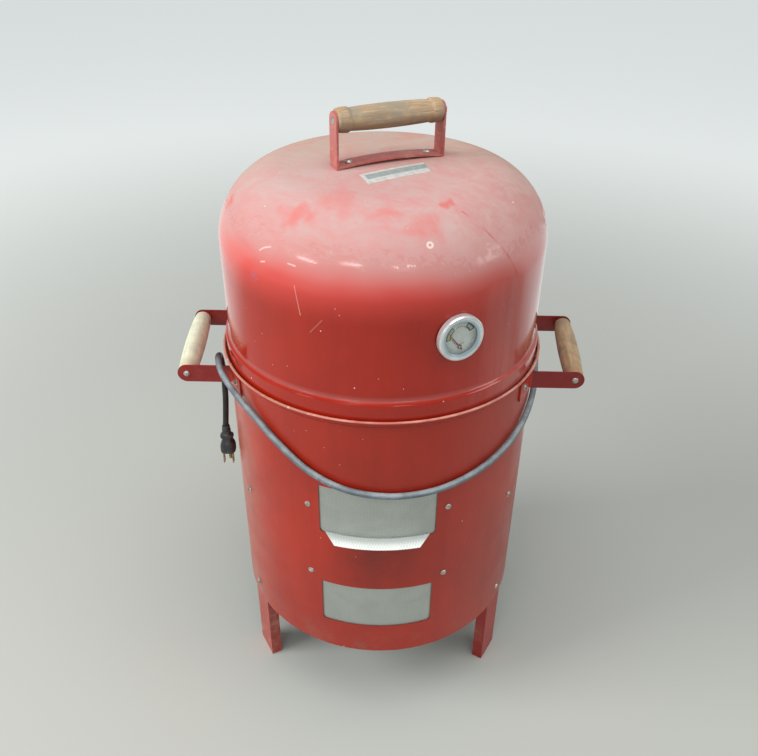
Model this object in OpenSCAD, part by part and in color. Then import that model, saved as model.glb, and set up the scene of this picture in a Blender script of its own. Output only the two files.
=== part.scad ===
// Electric water smoker: an upright steel drum on three legs with a lift-off lid.
// Millimetres, +Z up, floor at z = 0, drum axis on Z, front towards -Y.

/* [Drum] */
// Outside diameter of the drum wall
body_d = 406; // [390:1:430]
// Height of the drum's lower edge above the floor
body_z = 142; // [125:1:165]
// Height of the drum from its lower edge to its rim
body_h = 398; // [390:1:420]
// Thickness of the drum and lid sheet
sheet = 1; // [0.8:0.1:1.4]
// Height of the folded hem at the drum's lower edge
hem_h = 8; // [4:1:14]
// How far the collar stands out from the drum wall
collar_step = 3.5; // [3:0.25:6]
// Height of the upright collar
collar_h = 7; // [5:0.5:8]
// Height of the flare below the collar
flare_h = 4.5; // [3:0.5:6]
// Diameter of the rolled edge on the rim
roll_d = 3.5; // [3:0.25:5]

/* [Windows and door] */
// Width of both windows, straight across
window_w = 146; // [120:1:160]
// Height of the lower window's sill above the drum's lower edge
access_sill = 51; // [46:1:60]
// Height of the lower window
access_h = 73; // [55:1:75]
// Height of the upper window's sill above the drum's lower edge
pull_sill = 213; // [200:1:220]
// Height of the upper window
pull_h = 76; // [72:1:84]
// Radius of the windows' lower corners
window_r = 5; // [3:1:12]
// Thickness of the sliding door panel
door_t = 0.8; // [0.6:0.1:1.2]
// How far the door reaches past the window at each side
door_lap_w = 9; // [6:0.5:12]
// How far the door reaches past the windows below and above
door_over = 4; // [3:0.5:8]
// How far the door lip reaches out from the panel
lip_reach = 16.5; // [10:0.5:22]
// Fall of the door lip from its bend to its edge
lip_drop = 5; // [2:0.5:8]
// Width of the door lip at its bend
lip_w = 133; // [100:1:138]
// Width of the door lip at its edge
lip_edge_w = 107; // [80:1:120]
// Thickness of the door guides
guide_t = 1; // [0.8:0.1:1.4]
// Width of the guides' riveted flange
guide_flange_w = 8.5; // [8:0.5:12]
// How far the guides lap over the door's edge
guide_lap_w = 5; // [3:0.5:8]
// Height of the lower guide rivets above the drum's lower edge
rivet_low = 137; // [120:1:150]
// Height of the upper guide rivets above the drum's lower edge
rivet_high = 253; // [240:1:265]
// Diameter of the rivet heads
rivet_head_d = 8.5; // [6:0.5:10]

/* [Legs] */
// Angle of the front legs' screws from the front
leg_angle = 60; // [56:1:64]
// Width of the leg's outer wing
leg_w = 43; // [36:1:48]
// Depth of the leg's inward wing
leg_flange_w = 16; // [12:1:22]
// Thickness of the leg steel
leg_t = 1.5; // [1.2:0.1:2.5]
// Distance from the fold of the leg to its screws
leg_lead = 6.5; // [6:0.5:12]
// Gap from the drum's inner wall to the leg's outer face
leg_inset = 5.5; // [4:0.5:8]
// Height of the legs' top ends above the drum's lower edge
leg_rise = 223; // [215:1:240]
// Height of the lower leg screws above the drum's lower edge
leg_screw_low = 24; // [18:1:34]
// Height of the upper leg screws above the drum's lower edge
leg_screw_high = 204; // [190:1:208]

/* [Side handles] */
// Height of the handle arms' middle below the rim
handle_drop = 25; // [24.5:0.5:32]
// Distance between the outer faces of a handle's two arms
handle_span = 151; // [130:1:170]
// Height of the handle arms
arm_h = 24; // [20:1:25]
// Thickness of the handle arms
arm_t = 2; // [1.5:0.25:3]
// Distance from the drum wall to the grip's front end
grip_reach = 44.5; // [40:0.5:52]
// How much further out the grip's rear end lies than its front end
grip_splay = 10; // [0:0.5:14]
// Length of the arms' flange along the wall
arm_flange_l = 37; // [34:1:46]
// Distance from the arms' bend to their screws
arm_screw_l = 26; // [18:1:28]
// Height of the arms' screws above the arms' middle
arm_screw_rise = 4; // [0:0.5:6]
// Diameter of the side grips at the middle
grip_d = 27; // [22:0.5:30]
// Diameter of the side grips at their ends
grip_end_d = 22; // [18:0.5:23]
// Diameter of the bolts through the wooden grips
grip_bolt_d = 6; // [5:0.5:7]

/* [Lid] */
// Gap between the lid skirt and the collar
skirt_gap = 1.5; // [1:0.25:2.5]
// How far the lid wall steps in above its skirt
lid_step = 4; // [3:0.25:6]
// Height of the skirt from its lower edge to the step
skirt_h = 26; // [20:1:34]
// Height of the lid wall above the step, up to the shoulder
lid_wall_h = 120; // [100:1:150]
// Radius of the lid's shoulder
shoulder_r = 86; // [60:1:100]
// Radius of the lid's crown
crown_r = 1500; // [800:10:2000]
// Angle of the lid handle from the X axis
lid_handle_turn = 26; // [0:1:45]
// Length of the lid handle over its uprights
lid_handle_l = 137; // [120:1:150]
// Distance of the lid handle's middle to the right of the lid's axis
lid_handle_right = 5; // [0:0.5:10]
// Distance of the lid handle's middle in front of the lid's axis
lid_handle_front = 10; // [0:0.5:15]
// Width of the lid handle's strap
strap_w = 21; // [18:1:25]
// Thickness of the lid handle's strap
strap_t = 2.5; // [2:0.25:3.5]
// How far the strap's middle stands off the lid's crown
strap_bow = 3; // [0:0.5:5]
// Height of the lid grip's axis above the lid's crown
lid_grip_rise = 51; // [42:1:60]
// Diameter of the lid grip at the middle
lid_grip_d = 28; // [24:0.5:32]
// Diameter of the lid grip's end collars
lid_grip_collar_d = 26; // [23:0.5:28]
// Distance between the lid handle's two screws
lid_screw_span = 100; // [80:1:110]

/* [Heat gauge] */
// Angle of the gauge from the front
gauge_angle = 25; // [15:1:40]
// Height of the gauge's middle above the lid's step
gauge_rise = 80; // [60:1:85]
// Diameter of the gauge's bezel
gauge_d = 54; // [46:1:60]
// Depth of the gauge's case
gauge_depth = 8.5; // [8:0.5:12]
// Distance of the needle's pivot below the gauge's middle
pivot_drop = 11.5; // [8:0.5:13]
// Length of the needle from its pivot
needle_l = 20; // [14:0.5:22]
// Angle of the needle at rest, left of upright
needle_rest = 38; // [25:1:45]
// Diameter of the gauge's threaded stem
stem_d = 8; // [6:0.5:10]
// Length of the gauge's stem behind its case
stem_l = 28; // [20:1:34]

/* [Grids and pans] */
// Gap between the cooking grids and the drum's inner wall
grid_gap = 14; // [12:0.5:18]
// Diameter of the grids' rim wire
grid_rim_d = 6; // [5:0.5:7]
// Diameter of the grids' bars
grid_bar_d = 4; // [3:0.5:5]
// Distance between the grids' bars
grid_pitch = 24; // [20:1:30]
// Depth of the water pan below its rim
pan_depth = 82; // [60:1:95]
// Diameter of the water pan's floor
pan_floor_d = 240; // [180:1:280]
// Thickness of both pans' sheet
pan_t = 1; // [0.8:0.1:1.5]
// Height of the reflector pan's floor above the drum's lower edge
reflector_rise = 8; // [6:1:14]
// Height of the reflector pan's wall
reflector_h = 22; // [15:1:26]
// Reach of the rests that carry the upper grid
rest_reach = 18; // [16:1:22]
// Drop of the upper grid's rests below the handle screws
rest_drop = 17; // [14:1:20]

/* [Heater] */
// Diameter of the heating element's loop, at the tube's middle
element_d = 210; // [160:1:250]
// Diameter of the heating element's tube
element_tube_d = 8; // [6.5:0.5:10]
// Height of the heating element above the drum's lower edge
element_rise = 40; // [38:1:48]
// Distance between the element's two leads
element_lead = 28; // [24:1:36]
// Angle of the terminal cover from the front
inlet_angle = 150; // [145:1:155]
// Width of the terminal cover
cover_w = 64; // [56:1:70]
// Height of the terminal cover
cover_h = 50; // [44:1:60]
// Depth of the terminal cover beyond the drum wall
cover_depth = 23; // [20:1:26]
// Wall thickness of the terminal cover
cover_t = 2; // [1.5:0.25:2.5]

/* [Power cord] */
// Diameter of the power cord
cord_d = 8; // [6:0.5:8]
// Length of the tapered strain relief
relief_l = 30; // [22:1:40]
// Diameter of the plug's body
plug_d = 21; // [20:0.5:24]
// Length of the plug's body without its blades
plug_l = 44; // [36:1:50]
// Length of the plug's blades
blade_l = 17; // [14:0.5:19]

/* [Fasteners] */
// Diameter of the screws through the sheet
screw_d = 5; // [4:0.5:5.5]
// Diameter of the screw heads
screw_head_d = 9; // [7:0.5:10]
// Width of the nuts across their corners
nut_d = 10; // [9:0.5:12]

/* [Clearances] */
// Gap between faces that rest on each other
seat = 0.3; // [0.2:0.05:0.4]
// Gap between a screw and its hole
hole_gap = 0.2; // [0.1:0.05:0.3]
// Running gap at the faces of the sliding door
slide_gap = 0.4; // [0.3:0.05:0.6]

/* [Hidden] */
$fn = 96;
// How far a cutting form runs past the faces that it cuts
cut = 5;
// How far two forms of one piece run into each other
merge = 0.5;

// Drum
body_r = body_d / 2;
body_ri = body_r - sheet;
hem_t = 0.6;
rim_z = body_z + body_h;
collar_ri = body_ri + collar_step;
collar_z = rim_z - collar_h;
flare_z = collar_z - flare_h;

// Windows and door
access_z = body_z + access_sill;
pull_z = body_z + pull_sill;
door_ro = body_ri - slide_gap;
door_ri = door_ro - door_t;
window_half = asin(window_w / 2 / body_r);
door_half = window_half + arc_deg(door_lap_w, door_ro);
door_z0 = access_z - door_over;
door_z1 = pull_z + pull_h + door_over;
lip_r = door_ri + lip_reach;
lip_slope = lip_drop / lip_reach;
lip_z = pull_z + seat + lip_slope * (body_r - door_ri);
lip_l = sqrt(lip_reach * lip_reach + lip_drop * lip_drop);
guide_stop = door_half + arc_deg(slide_gap * 2, door_ro);
guide_jog = arc_deg(guide_t * 1.5, door_ro);
guide_in = door_half - arc_deg(guide_lap_w, door_ro);
guide_out = guide_stop + guide_jog + arc_deg(guide_flange_w, door_ro);
guide_lap_ro = door_ri - slide_gap;
guide_z1 = door_z1 + door_over;
rivet_angle = guide_stop + guide_jog + arc_deg(guide_flange_w / 2, door_ro);
rivet_shank_d = 4;
rivet_grip = sheet + seat + guide_t;

// Legs
leg_r = body_ri - leg_inset;
leg_top = body_z + leg_rise;
leg_boss_d = 2 * leg_lead - leg_t;
leg_angles = [-leg_angle, leg_angle, 180];
leg_sides = [-1, 1, 1];
leg_screw_zs = [body_z + leg_screw_low, body_z + leg_screw_high];
reflector_z = body_z + reflector_rise;
reflector_gap = 2.5;
reflector_r = leg_r - leg_flange_w - reflector_gap;

// Side handles
handle_z = rim_z - handle_drop;
grip_x = body_r + grip_reach;
arm_y = handle_span / 2;
arm_r = body_r + seat;
arm_deg = acos(arm_y / (arm_r + arm_t));
arm_screw_deg = arm_deg - arc_deg(arm_screw_l, arm_r);
arm_screw_z = handle_z + arm_screw_rise;
arm_screw_degs = [-arm_screw_deg, arm_screw_deg, 180 - arm_screw_deg, 180 + arm_screw_deg];
arm_end_r = arm_h / 2;
grip_tilt = atan(grip_splay / handle_span);
grip_l = handle_span - 2 * arm_t - 2 * seat - grip_end_d * tan(grip_tilt);
grip_head_d = 8.5;
grip_head_h = 2.2;
grip_nut_d = 11;
grip_nut_h = 3.5;
grip_thread = 1;
side_bolt_l = handle_span / cos(grip_tilt) + grip_nut_d * tan(grip_tilt);

// Upper grid rests
rest_t = 1.5;
rest_w = 16;
rest_r = body_ri - seat - (rest_w / 2) * (rest_w / 2) / (2 * body_ri);
rest_over = 9;
rest_z = arm_screw_z - rest_drop;
grid_r = body_ri - grid_gap;
upper_grid_z = rest_z + seat + grid_rim_d / 2;

// Lid
skirt_r = collar_ri - skirt_gap;
lid_r = skirt_r - lid_step;
skirt_z = flare_z + flare_h * (skirt_r - body_ri) / collar_step + 2 * seat;
step_z = skirt_z + skirt_h;
step_h = 6;
shoulder_z = step_z + step_h + lid_wall_h;
shoulder_x = lid_r - shoulder_r;
crown_z = shoulder_z - sqrt(pow(crown_r - shoulder_r, 2) - pow(shoulder_x, 2));
crown_deg = atan2(shoulder_z - crown_z, shoulder_x);
lid_top = crown_z + crown_r;
lid_grip_z = lid_top + lid_grip_rise;
lid_grip_l = lid_handle_l - 2 * strap_t - 2 * seat;
strap_r = crown_r + seat;
strap_half = lid_handle_l / 2;
strap_foot_z = crown_z + sqrt(strap_r * strap_r - strap_half * strap_half);
strap_sag = lid_top + seat + strap_bow - strap_foot_z;
strap_bend_r = (strap_half * strap_half + strap_sag * strap_sag) / (2 * strap_sag);
strap_bend_z = strap_foot_z + strap_sag - strap_bend_r;
lid_screw_x = lid_screw_span / 2;
strap_slope = asin(lid_screw_x / strap_bend_r) - asin(lid_screw_x / crown_r);
strap_off = strap_bend_z + sqrt(strap_bend_r * strap_bend_r - lid_screw_x * lid_screw_x)
    - crown_z - sqrt(crown_r * crown_r - lid_screw_x * lid_screw_x);

// Heat gauge, in its own frame: +Z out of the lid wall, +Y up
gauge_r = gauge_d / 2;
gauge_z = step_z + gauge_rise;
gauge_rim = 7.3;
gauge_edge = 2;
gauge_wall = 1;
gauge_dial_z = 2.9;
gauge_dial_t = 0.6;
gauge_glass_t = 0.8;
gauge_lip_drop = 3.1;
gauge_lip_z = gauge_depth - gauge_lip_drop;
needle_t = 0.6;
needle_pin_d = 1.6;
needle_pin_over = 0.4;
needle_z = gauge_dial_z + seat;

// Pans and lower grid
water_pan_z = leg_top + seat;
water_pan_r = leg_r - leg_flange_w / 2;
mouth_gap = 3;
water_pan_mouth = leg_r - leg_flange_w - mouth_gap;
lower_grid_z = water_pan_z + pan_t + seat + grid_rim_d / 2;

// Heater and terminal cover
element_z = body_z + element_rise;
element_r = element_d / 2;
element_gap_deg = asin(element_lead / 2 / element_r);
cover_z = element_z;
cover_ear = 13;
cover_screw_x = cover_w / 2 + cover_ear / 2;
cover_screw_deg = asin(cover_screw_x / body_r);
plate_w = element_lead + 2 * element_tube_d;
plate_h = 22;
plate_t = 1.5;
plate_r = body_ri - seat - pow(plate_w / 2, 2) / (2 * body_ri);
block_depth = 7;
block_r = body_r + block_depth;
lead_over = 6;
relief_wall = 2;

// Fasteners
nut_h = 4;
thread_over = 6;

// Power cord: down to the floor at the rear, a loop there, up over the right rear arm,
// a swag across the drum's front and down over the left front arm to the plug.
// The swag's points are [angle from the front, distance from the axis, height].
relief_r = body_r + (cover_depth + cover_t) / 2;
relief_z = cover_z - cover_h / 2 - relief_l;
cord_r = cord_d / 2;
cord_out = polar(inlet_angle, relief_r, relief_z);
cord_fall = [0, 0, -38];
cord_loop = [[108, 188, 51], [112, 195, 23], [124, 215, 6], [144, 249, 5], [168, 270, 5],
    [195, 270, 5], [215, 249, 5], [220, 214, 5], [218, 165, 6], [216, 128, 17]];
cord_right = [[214, 112, 47], [213, 108, 115], [212, 108, 235], [211, 109, 365],
    [211, 110, 450], [211, 111, 486], [210, 102, 514], [210, 77, 532], [210, 46, 529],
    [210, 18, 515], [209, -7, 500]];
cord_swag = [[74, 208, 481], [60, 208, 464], [46, 208, 450], [32, 208, 439], [18, 208, 432],
    [4, 208, 431], [-10, 208, 437], [-23, 208, 453], [-35, 208, 477], [-46, 209, 498],
    [-56, 214, 515]];
cord_left = [[-198, -93, 527], [-207, -68, 533], [-211, -41, 521], [-212, -29, 490],
    [-212, -34, 450]];
plug_at = [-214, -43, 410];
cord_points = concat([cord_out, cord_out + cord_fall], cord_loop, cord_right,
    [for (p = cord_swag) polar(p[0], p[1], p[2])], cord_left, [plug_at]);
cord_sides = 10;
cord_steps = 2;

// Angle that an arc of length s spans at radius r
function arc_deg(s, r) = s / r * 180 / PI;

// Point at an angle from the front, a distance from the axis and a height
function polar(a, r, z) = [r * sin(a), -r * cos(a), z];

// Point on the smooth curve through the points p, at u from 0 to len(p) - 1
function spline(p, u) =
    let (n = len(p) - 1, i = min(floor(u), n - 1), t = u - i,
        a = p[max(i - 1, 0)], b = p[i], c = p[i + 1], d = p[min(i + 2, n)])
    0.5 * (2 * b + (c - a) * t + (2 * a - 5 * b + 4 * c - d) * t * t
        + (3 * b - a - 3 * c + d) * t * t * t);

function unit(v) = v / norm(v);

// Frames carried along the points p with the least twist
function tangents(p) = [for (i = [0 : len(p) - 1])
    unit(p[min(i + 1, len(p) - 1)] - p[max(i - 1, 0)])];
function normals(t) = [for (i = 0, n = unit(cross(t[0], [1, 0, 0])); i < len(t);
    i = i + 1, n = i < len(t) ? unit(n - t[i] * (n * t[i])) : n) n];

// Children placed on a wall: +Z out from the axis, +Y up, at an angle from the front
module on_wall(angle, r, z) {
    rotate([0, 0, angle])
        translate([0, -r, z])
            rotate([90, 0, 0])
                children();
}

// Band of a drum between two angles from the front
module wall_band(r0, r1, z0, z1, a0, a1) {
    rotate([0, 0, a0 - 90])
        rotate_extrude(angle = a1 - a0)
            translate([r0, z0])
                square([r1 - r0, z1 - z0]);
}

// Low domed head, its flat face at z = 0
module dome(d, h) {
    ball = (d * d / 4 + h * h) / (2 * h);
    rotate_extrude()
        intersection() {
            translate([0, h - ball])
                circle(r = ball);
            square([d / 2, h]);
        }
}

// Slotted screw with its head's seat at z = 0 and its shank along -Z
module screw(d, head_d, l) {
    head_h = head_d * 0.33;
    slot_w = head_d * 0.13;
    difference() {
        dome(head_d, head_h);
        translate([-head_d, -slot_w / 2, head_h * 0.6])
            cube([2 * head_d, slot_w, head_h]);
    }
    translate([0, 0, -l])
        cylinder(d = d, h = l + head_h * 0.3);
}

// Hexagonal nut with its seat at z = 0, along -Z
module nut(d, bore, h) {
    translate([0, 0, -h])
        difference() {
            cylinder(d = d, h = h, $fn = 6);
            translate([0, 0, -cut])
                cylinder(d = bore, h = h + 2 * cut);
        }
}

// Outline of a window with rounded lower corners, its sill at y = 0
module window_outline(w, h, r) {
    translate([-w / 2, r])
        square([w, h - r]);
    translate([-w / 2 + r, 0])
        square([w - 2 * r, h]);
    for (s = [-1, 1])
        translate([s * (w / 2 - r), r])
            circle(r = r);
}

module window_cut(z, w, h, r) {
    translate([0, -body_r / 2, z])
        rotate([90, 0, 0])
            linear_extrude(body_r)
                window_outline(w, h, r);
}

module body_shell() {
    color("firebrick")
        difference() {
            rotate_extrude() {
                translate([body_ri, body_z])
                    square([sheet, flare_z - body_z]);
                translate([body_ri - hem_t, body_z])
                    square([hem_t + sheet / 2, hem_h]);
                polygon([[body_ri, flare_z], [body_r, flare_z],
                    [collar_ri + sheet, collar_z], [collar_ri, collar_z]]);
                translate([collar_ri, collar_z])
                    square([sheet, collar_h - roll_d / 2]);
                translate([collar_ri + sheet * 0.3 + roll_d / 2, rim_z - roll_d / 2])
                    circle(d = roll_d);
            }
            window_cut(access_z, window_w, access_h, window_r);
            window_cut(pull_z, window_w, pull_h, window_r);
            for (s = [-1, 1], z = [rivet_low, rivet_high])
                on_wall(s * rivet_angle, body_ri - cut, body_z + z)
                    cylinder(d = rivet_shank_d + 2 * hole_gap, h = sheet + 2 * cut);
            for (a = leg_angles, z = leg_screw_zs)
                on_wall(a, body_ri - cut, z)
                    cylinder(d = screw_d + 2 * hole_gap, h = sheet + 2 * cut);
            for (a = arm_screw_degs)
                on_wall(a, body_ri - cut, arm_screw_z)
                    cylinder(d = screw_d + 2 * hole_gap, h = sheet + 2 * cut);
            for (s = [-1, 1]) {
                on_wall(inlet_angle, body_ri - cut, element_z)
                    translate([s * element_lead / 2, 0, 0])
                        cylinder(d = element_tube_d + 4 * hole_gap, h = sheet + 2 * cut);
                on_wall(inlet_angle + s * cover_screw_deg, body_ri - cut, cover_z)
                    cylinder(d = screw_d + 2 * hole_gap, h = sheet + 2 * cut);
            }
        }
}

// Guide channel riveted inside the drum beside the door, for the right side
module door_guide() {
    ro = body_ri - seat;
    z0 = door_z0 + door_over;
    color("silver")
        difference() {
            union() {
                wall_band(ro - guide_t, ro, z0, guide_z1, guide_stop, guide_out);
                wall_band(guide_lap_ro - guide_t, ro, z0, guide_z1,
                    guide_stop, guide_stop + guide_jog);
                wall_band(guide_lap_ro - guide_t, guide_lap_ro, z0, guide_z1,
                    guide_in, guide_stop + guide_jog);
            }
            for (z = [rivet_low, rivet_high])
                on_wall(rivet_angle, ro - guide_t - cut, body_z + z)
                    cylinder(d = rivet_shank_d + 2 * hole_gap, h = guide_t + 2 * cut);
        }
}

module door_guide_left() { mirror([1, 0, 0]) door_guide(); }
module door_guide_right() { door_guide(); }

module door_rivets() {
    tail = 1.2;
    color("gainsboro")
        for (s = [-1, 1], z = [rivet_low, rivet_high])
            on_wall(s * rivet_angle, body_r + seat / 2, body_z + z) {
                dome(rivet_head_d, rivet_head_d * 0.3);
                translate([0, 0, -rivet_grip - seat - tail])
                    cylinder(d = rivet_shank_d, h = rivet_grip + seat + tail + merge);
                translate([0, 0, -rivet_grip - seat - tail])
                    cylinder(d = rivet_shank_d * 1.5, h = tail);
            }
}

module sliding_door() {
    open_z = lip_z - lip_l;
    color("lightgray") {
        difference() {
            wall_band(door_ri, door_ro, door_z0, door_z1, -door_half, door_half);
            translate([-lip_w / 2, -body_r - cut, open_z])
                cube([lip_w, body_r / 2, lip_z - open_z]);
        }
        intersection() {
            rotate([0, 0, -door_half - 90])
                rotate_extrude(angle = 2 * door_half)
                    polygon([[door_ri, lip_z], [lip_r, lip_z - lip_drop],
                        [lip_r, lip_z - lip_drop + door_t], [door_ri, lip_z + door_t]]);
            linear_extrude(rim_z)
                polygon([[-lip_w / 2, -door_ri / 2], [-lip_w / 2, -lip_root_y()],
                    [-lip_edge_w / 2, -lip_edge_y()], [-lip_edge_w / 2, -lip_r - cut],
                    [lip_edge_w / 2, -lip_r - cut], [lip_edge_w / 2, -lip_edge_y()],
                    [lip_w / 2, -lip_root_y()], [lip_w / 2, -door_ri / 2]]);
        }
    }
}

// Distance of the lip's corners from the drum's middle plane
function lip_root_y() = sqrt(door_ro * door_ro - lip_w * lip_w / 4);
function lip_edge_y() = sqrt(lip_r * lip_r - lip_edge_w * lip_edge_w / 4);

// Leg of folded steel: an outer wing, an inward wing, screw seats and a shelf
module leg(angle, side) {
    shelf_l = 30;
    shelf_w = 22;
    boss_r = body_ri - seat - leg_boss_d * leg_boss_d / (8 * body_ri);
    color("firebrick")
        rotate([0, 0, angle])
            mirror([side > 0 ? 0 : 1, 0, 0])
                difference() {
                    union() {
                        translate([-leg_lead, -leg_r, 0])
                            cube([leg_w, leg_t, leg_top]);
                        translate([-leg_lead, -leg_r, 0])
                            cube([leg_t, leg_flange_w, leg_top]);
                        translate([-leg_lead, -leg_r + leg_flange_w / 2, reflector_z - leg_t - seat])
                            cube([shelf_w, shelf_l, leg_t]);
                        for (z = leg_screw_zs)
                            translate([0, -leg_r + leg_t / 2, z])
                                rotate([90, 0, 0])
                                    cylinder(d = leg_boss_d, h = boss_r - leg_r + leg_t / 2);
                    }
                    for (z = leg_screw_zs)
                        translate([0, -leg_r + leg_t + cut, z])
                            rotate([90, 0, 0])
                                cylinder(d = screw_d + 2 * hole_gap, h = leg_inset + leg_t + 2 * cut);
                }
}

module leg_left() { leg(leg_angles[0], leg_sides[0]); }
module leg_right() { leg(leg_angles[1], leg_sides[1]); }
module leg_rear() { leg(leg_angles[2], leg_sides[2]); }

module leg_screws() {
    l = body_r - leg_r + leg_t + thread_over;
    color("silver")
        for (a = leg_angles, z = leg_screw_zs)
            on_wall(a, body_r + seat / 2, z)
                screw(screw_d, screw_head_d, l);
}

module leg_nuts() {
    color("silver")
        for (a = leg_angles, z = leg_screw_zs)
            on_wall(a, leg_r - leg_t - hole_gap, z)
                rotate([0, 0, 90])
                    nut(nut_d, screw_d + 2 * hole_gap, nut_h);
}

// Handle arm for the right front: a flange on the wall and an arm out to the grip,
// whose axis crosses the arm's outer face at end_x and leans by an angle
module handle_arm(end_x, lean) {
    z0 = handle_z - arm_h / 2;
    fold_x = sqrt(pow(arm_r + arm_t / 2, 2) - arm_y * arm_y);
    color("brown")
        difference() {
            union() {
                wall_band(arm_r, arm_r + arm_t, z0, z0 + arm_h,
                    arm_deg - arc_deg(arm_flange_l, arm_r), arm_deg);
                difference() {
                    union() {
                        translate([fold_x - 3 * arm_t, -arm_y, z0])
                            cube([end_x - fold_x + 3 * arm_t, arm_t, arm_h]);
                        translate([end_x, -arm_y + arm_t, handle_z])
                            rotate([90, 0, 0])
                                cylinder(r = arm_end_r, h = arm_t);
                    }
                    cylinder(r = arm_r, h = rim_z);
                }
            }
            translate([end_x, -arm_y, handle_z])
                rotate([90, 0, -lean])
                    cylinder(d = grip_bolt_d + 2 * hole_gap, h = 4 * arm_t, center = true);
            on_wall(arm_screw_deg, arm_r - cut, arm_screw_z)
                cylinder(d = screw_d + 2 * hole_gap, h = arm_t + 2 * cut);
        }
}

module front_arm() { handle_arm(grip_x, grip_tilt); }
module rear_arm() { mirror([0, 1, 0]) handle_arm(grip_x + grip_splay, -grip_tilt); }

module handle_arm_right_front() { front_arm(); }
module handle_arm_right_rear() { rear_arm(); }
module handle_arm_left_front() { mirror([1, 0, 0]) front_arm(); }
module handle_arm_left_rear() { mirror([1, 0, 0]) rear_arm(); }

module handle_screws() {
    r = arm_r + arm_t + seat / 2;
    l = r - rest_r + rest_t + thread_over;
    color("silver")
        for (a = arm_screw_degs)
            on_wall(a, r, arm_screw_z)
                screw(screw_d, screw_head_d, l);
}

module handle_nuts() {
    color("silver")
        for (a = arm_screw_degs)
            on_wall(a, rest_r - rest_t - hole_gap, arm_screw_z)
                nut(nut_d, screw_d + 2 * hole_gap, nut_h);
}

// Four angle rests inside the drum, held by the handle screws
module grid_rests() {
    h = rest_drop + rest_over;
    color("silver")
        for (a = arm_screw_degs)
            rotate([0, 0, a])
                difference() {
                    union() {
                        translate([-rest_w / 2, -rest_r, rest_z - rest_t])
                            cube([rest_w, rest_t, h]);
                        translate([-rest_w / 2, -rest_r, rest_z - rest_t])
                            cube([rest_w, rest_reach, rest_t]);
                    }
                    translate([0, -rest_r + rest_t + cut, arm_screw_z])
                        rotate([90, 0, 0])
                            cylinder(d = screw_d + 2 * hole_gap, h = rest_t + 2 * cut);
                }
}

// Turned grip along +Z from 0 to l: a belly between two ends, with optional end collars
module turned_grip(l, d, end_d, collar_d, collar_l) {
    steps = 28;
    edge = 2;
    bore = grip_bolt_d + 4 * hole_gap;
    function belly(t) = end_d / 2 + (d - end_d) / 2 * pow(sin(180 * t), 0.7);
    function collar(z) = z > collar_l ? 0
        : sqrt(1 - pow(2 * z / collar_l - 1, 6)) * (collar_d - end_d) / 2;
    function ease(z) = z < edge ? edge - sqrt(edge * edge - pow(edge - z, 2)) : 0;
    outline = [for (i = [0 : steps]) let (z = l * i / steps, e = min(z, l - z))
        [belly(i / steps) + (collar_l > 0 ? collar(e) : 0) - ease(e), z]];
    rotate_extrude()
        polygon(concat(outline, [[bore / 2, l], [bore / 2, 0]]));
}

// Children placed at the middle of the right grip, +Z along its axis to the front
module on_grip() {
    translate([grip_x + grip_splay / 2, 0, handle_z])
        rotate([90, 0, -grip_tilt])
            children();
}

module grip_right() {
    color("tan")
        on_grip()
            translate([0, 0, -grip_l / 2])
                turned_grip(grip_l, grip_d, grip_end_d, grip_end_d, 0);
}

module grip_left() { mirror([1, 0, 0]) grip_right(); }

// Bolt through a grip, its head's seat at z = 0 and its shank along -Z through a span
module grip_bolt(span) {
    l = span + 2 * hole_gap + grip_nut_h + grip_thread;
    dome(grip_head_d, grip_head_h);
    translate([0, 0, -l])
        cylinder(d = grip_bolt_d, h = l + merge);
}

module grip_bolts() {
    color("silver")
        for (s = [0, 1])
            mirror([s, 0, 0])
                on_grip()
                    translate([0, 0, side_bolt_l / 2 + hole_gap])
                        grip_bolt(side_bolt_l);
}

module grip_nuts() {
    color("silver")
        for (s = [0, 1])
            mirror([s, 0, 0])
                on_grip()
                    translate([0, 0, -side_bolt_l / 2 - hole_gap])
                        nut(grip_nut_d, grip_bolt_d + 2 * hole_gap, grip_nut_h);
}

module reflector_pan() {
    color("darkgray")
        rotate_extrude()
            polygon([[0, reflector_z], [reflector_r, reflector_z],
                [reflector_r, reflector_z + reflector_h],
                [reflector_r - 3 * pan_t, reflector_z + reflector_h],
                [reflector_r - 3 * pan_t, reflector_z + reflector_h - pan_t],
                [reflector_r - pan_t, reflector_z + reflector_h - pan_t],
                [reflector_r - pan_t, reflector_z + pan_t], [0, reflector_z + pan_t]]);
}

module heating_element() {
    lead_in = sqrt(element_r * element_r - element_lead * element_lead / 4);
    lead_out = block_r + lead_over;
    color("dimgray")
        translate([0, 0, element_z])
            rotate([0, 0, inlet_angle - 90]) {
                rotate([0, 0, element_gap_deg])
                    rotate_extrude(angle = 360 - 2 * element_gap_deg)
                        translate([element_r, 0])
                            circle(d = element_tube_d);
                for (s = [-1, 1]) {
                    translate([lead_in, s * element_lead / 2, 0]) {
                        sphere(d = element_tube_d + 2 * seat);
                        rotate([0, 90, 0])
                            cylinder(d = element_tube_d, h = lead_out - lead_in);
                    }
                }
            }
}

// Three posts on the reflector pan that carry the element's loop
module element_stands() {
    post_w = 12;
    foot_l = 26;
    t = 1.5;
    z0 = reflector_z + pan_t + hole_gap;
    top = element_z - element_tube_d / 2 - seat;
    color("gray")
        for (a = [inlet_angle + 90, inlet_angle + 180, inlet_angle + 270])
            rotate([0, 0, a])
                translate([-post_w / 2, -element_r, 0]) {
                    translate([0, -foot_l / 2, z0])
                        cube([post_w, foot_l, t]);
                    translate([0, -t / 2, z0])
                        cube([post_w, t, top - z0 - t / 2]);
                    translate([0, -element_tube_d / 2, top - t])
                        cube([post_w, element_tube_d, t]);
                }
}

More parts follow.
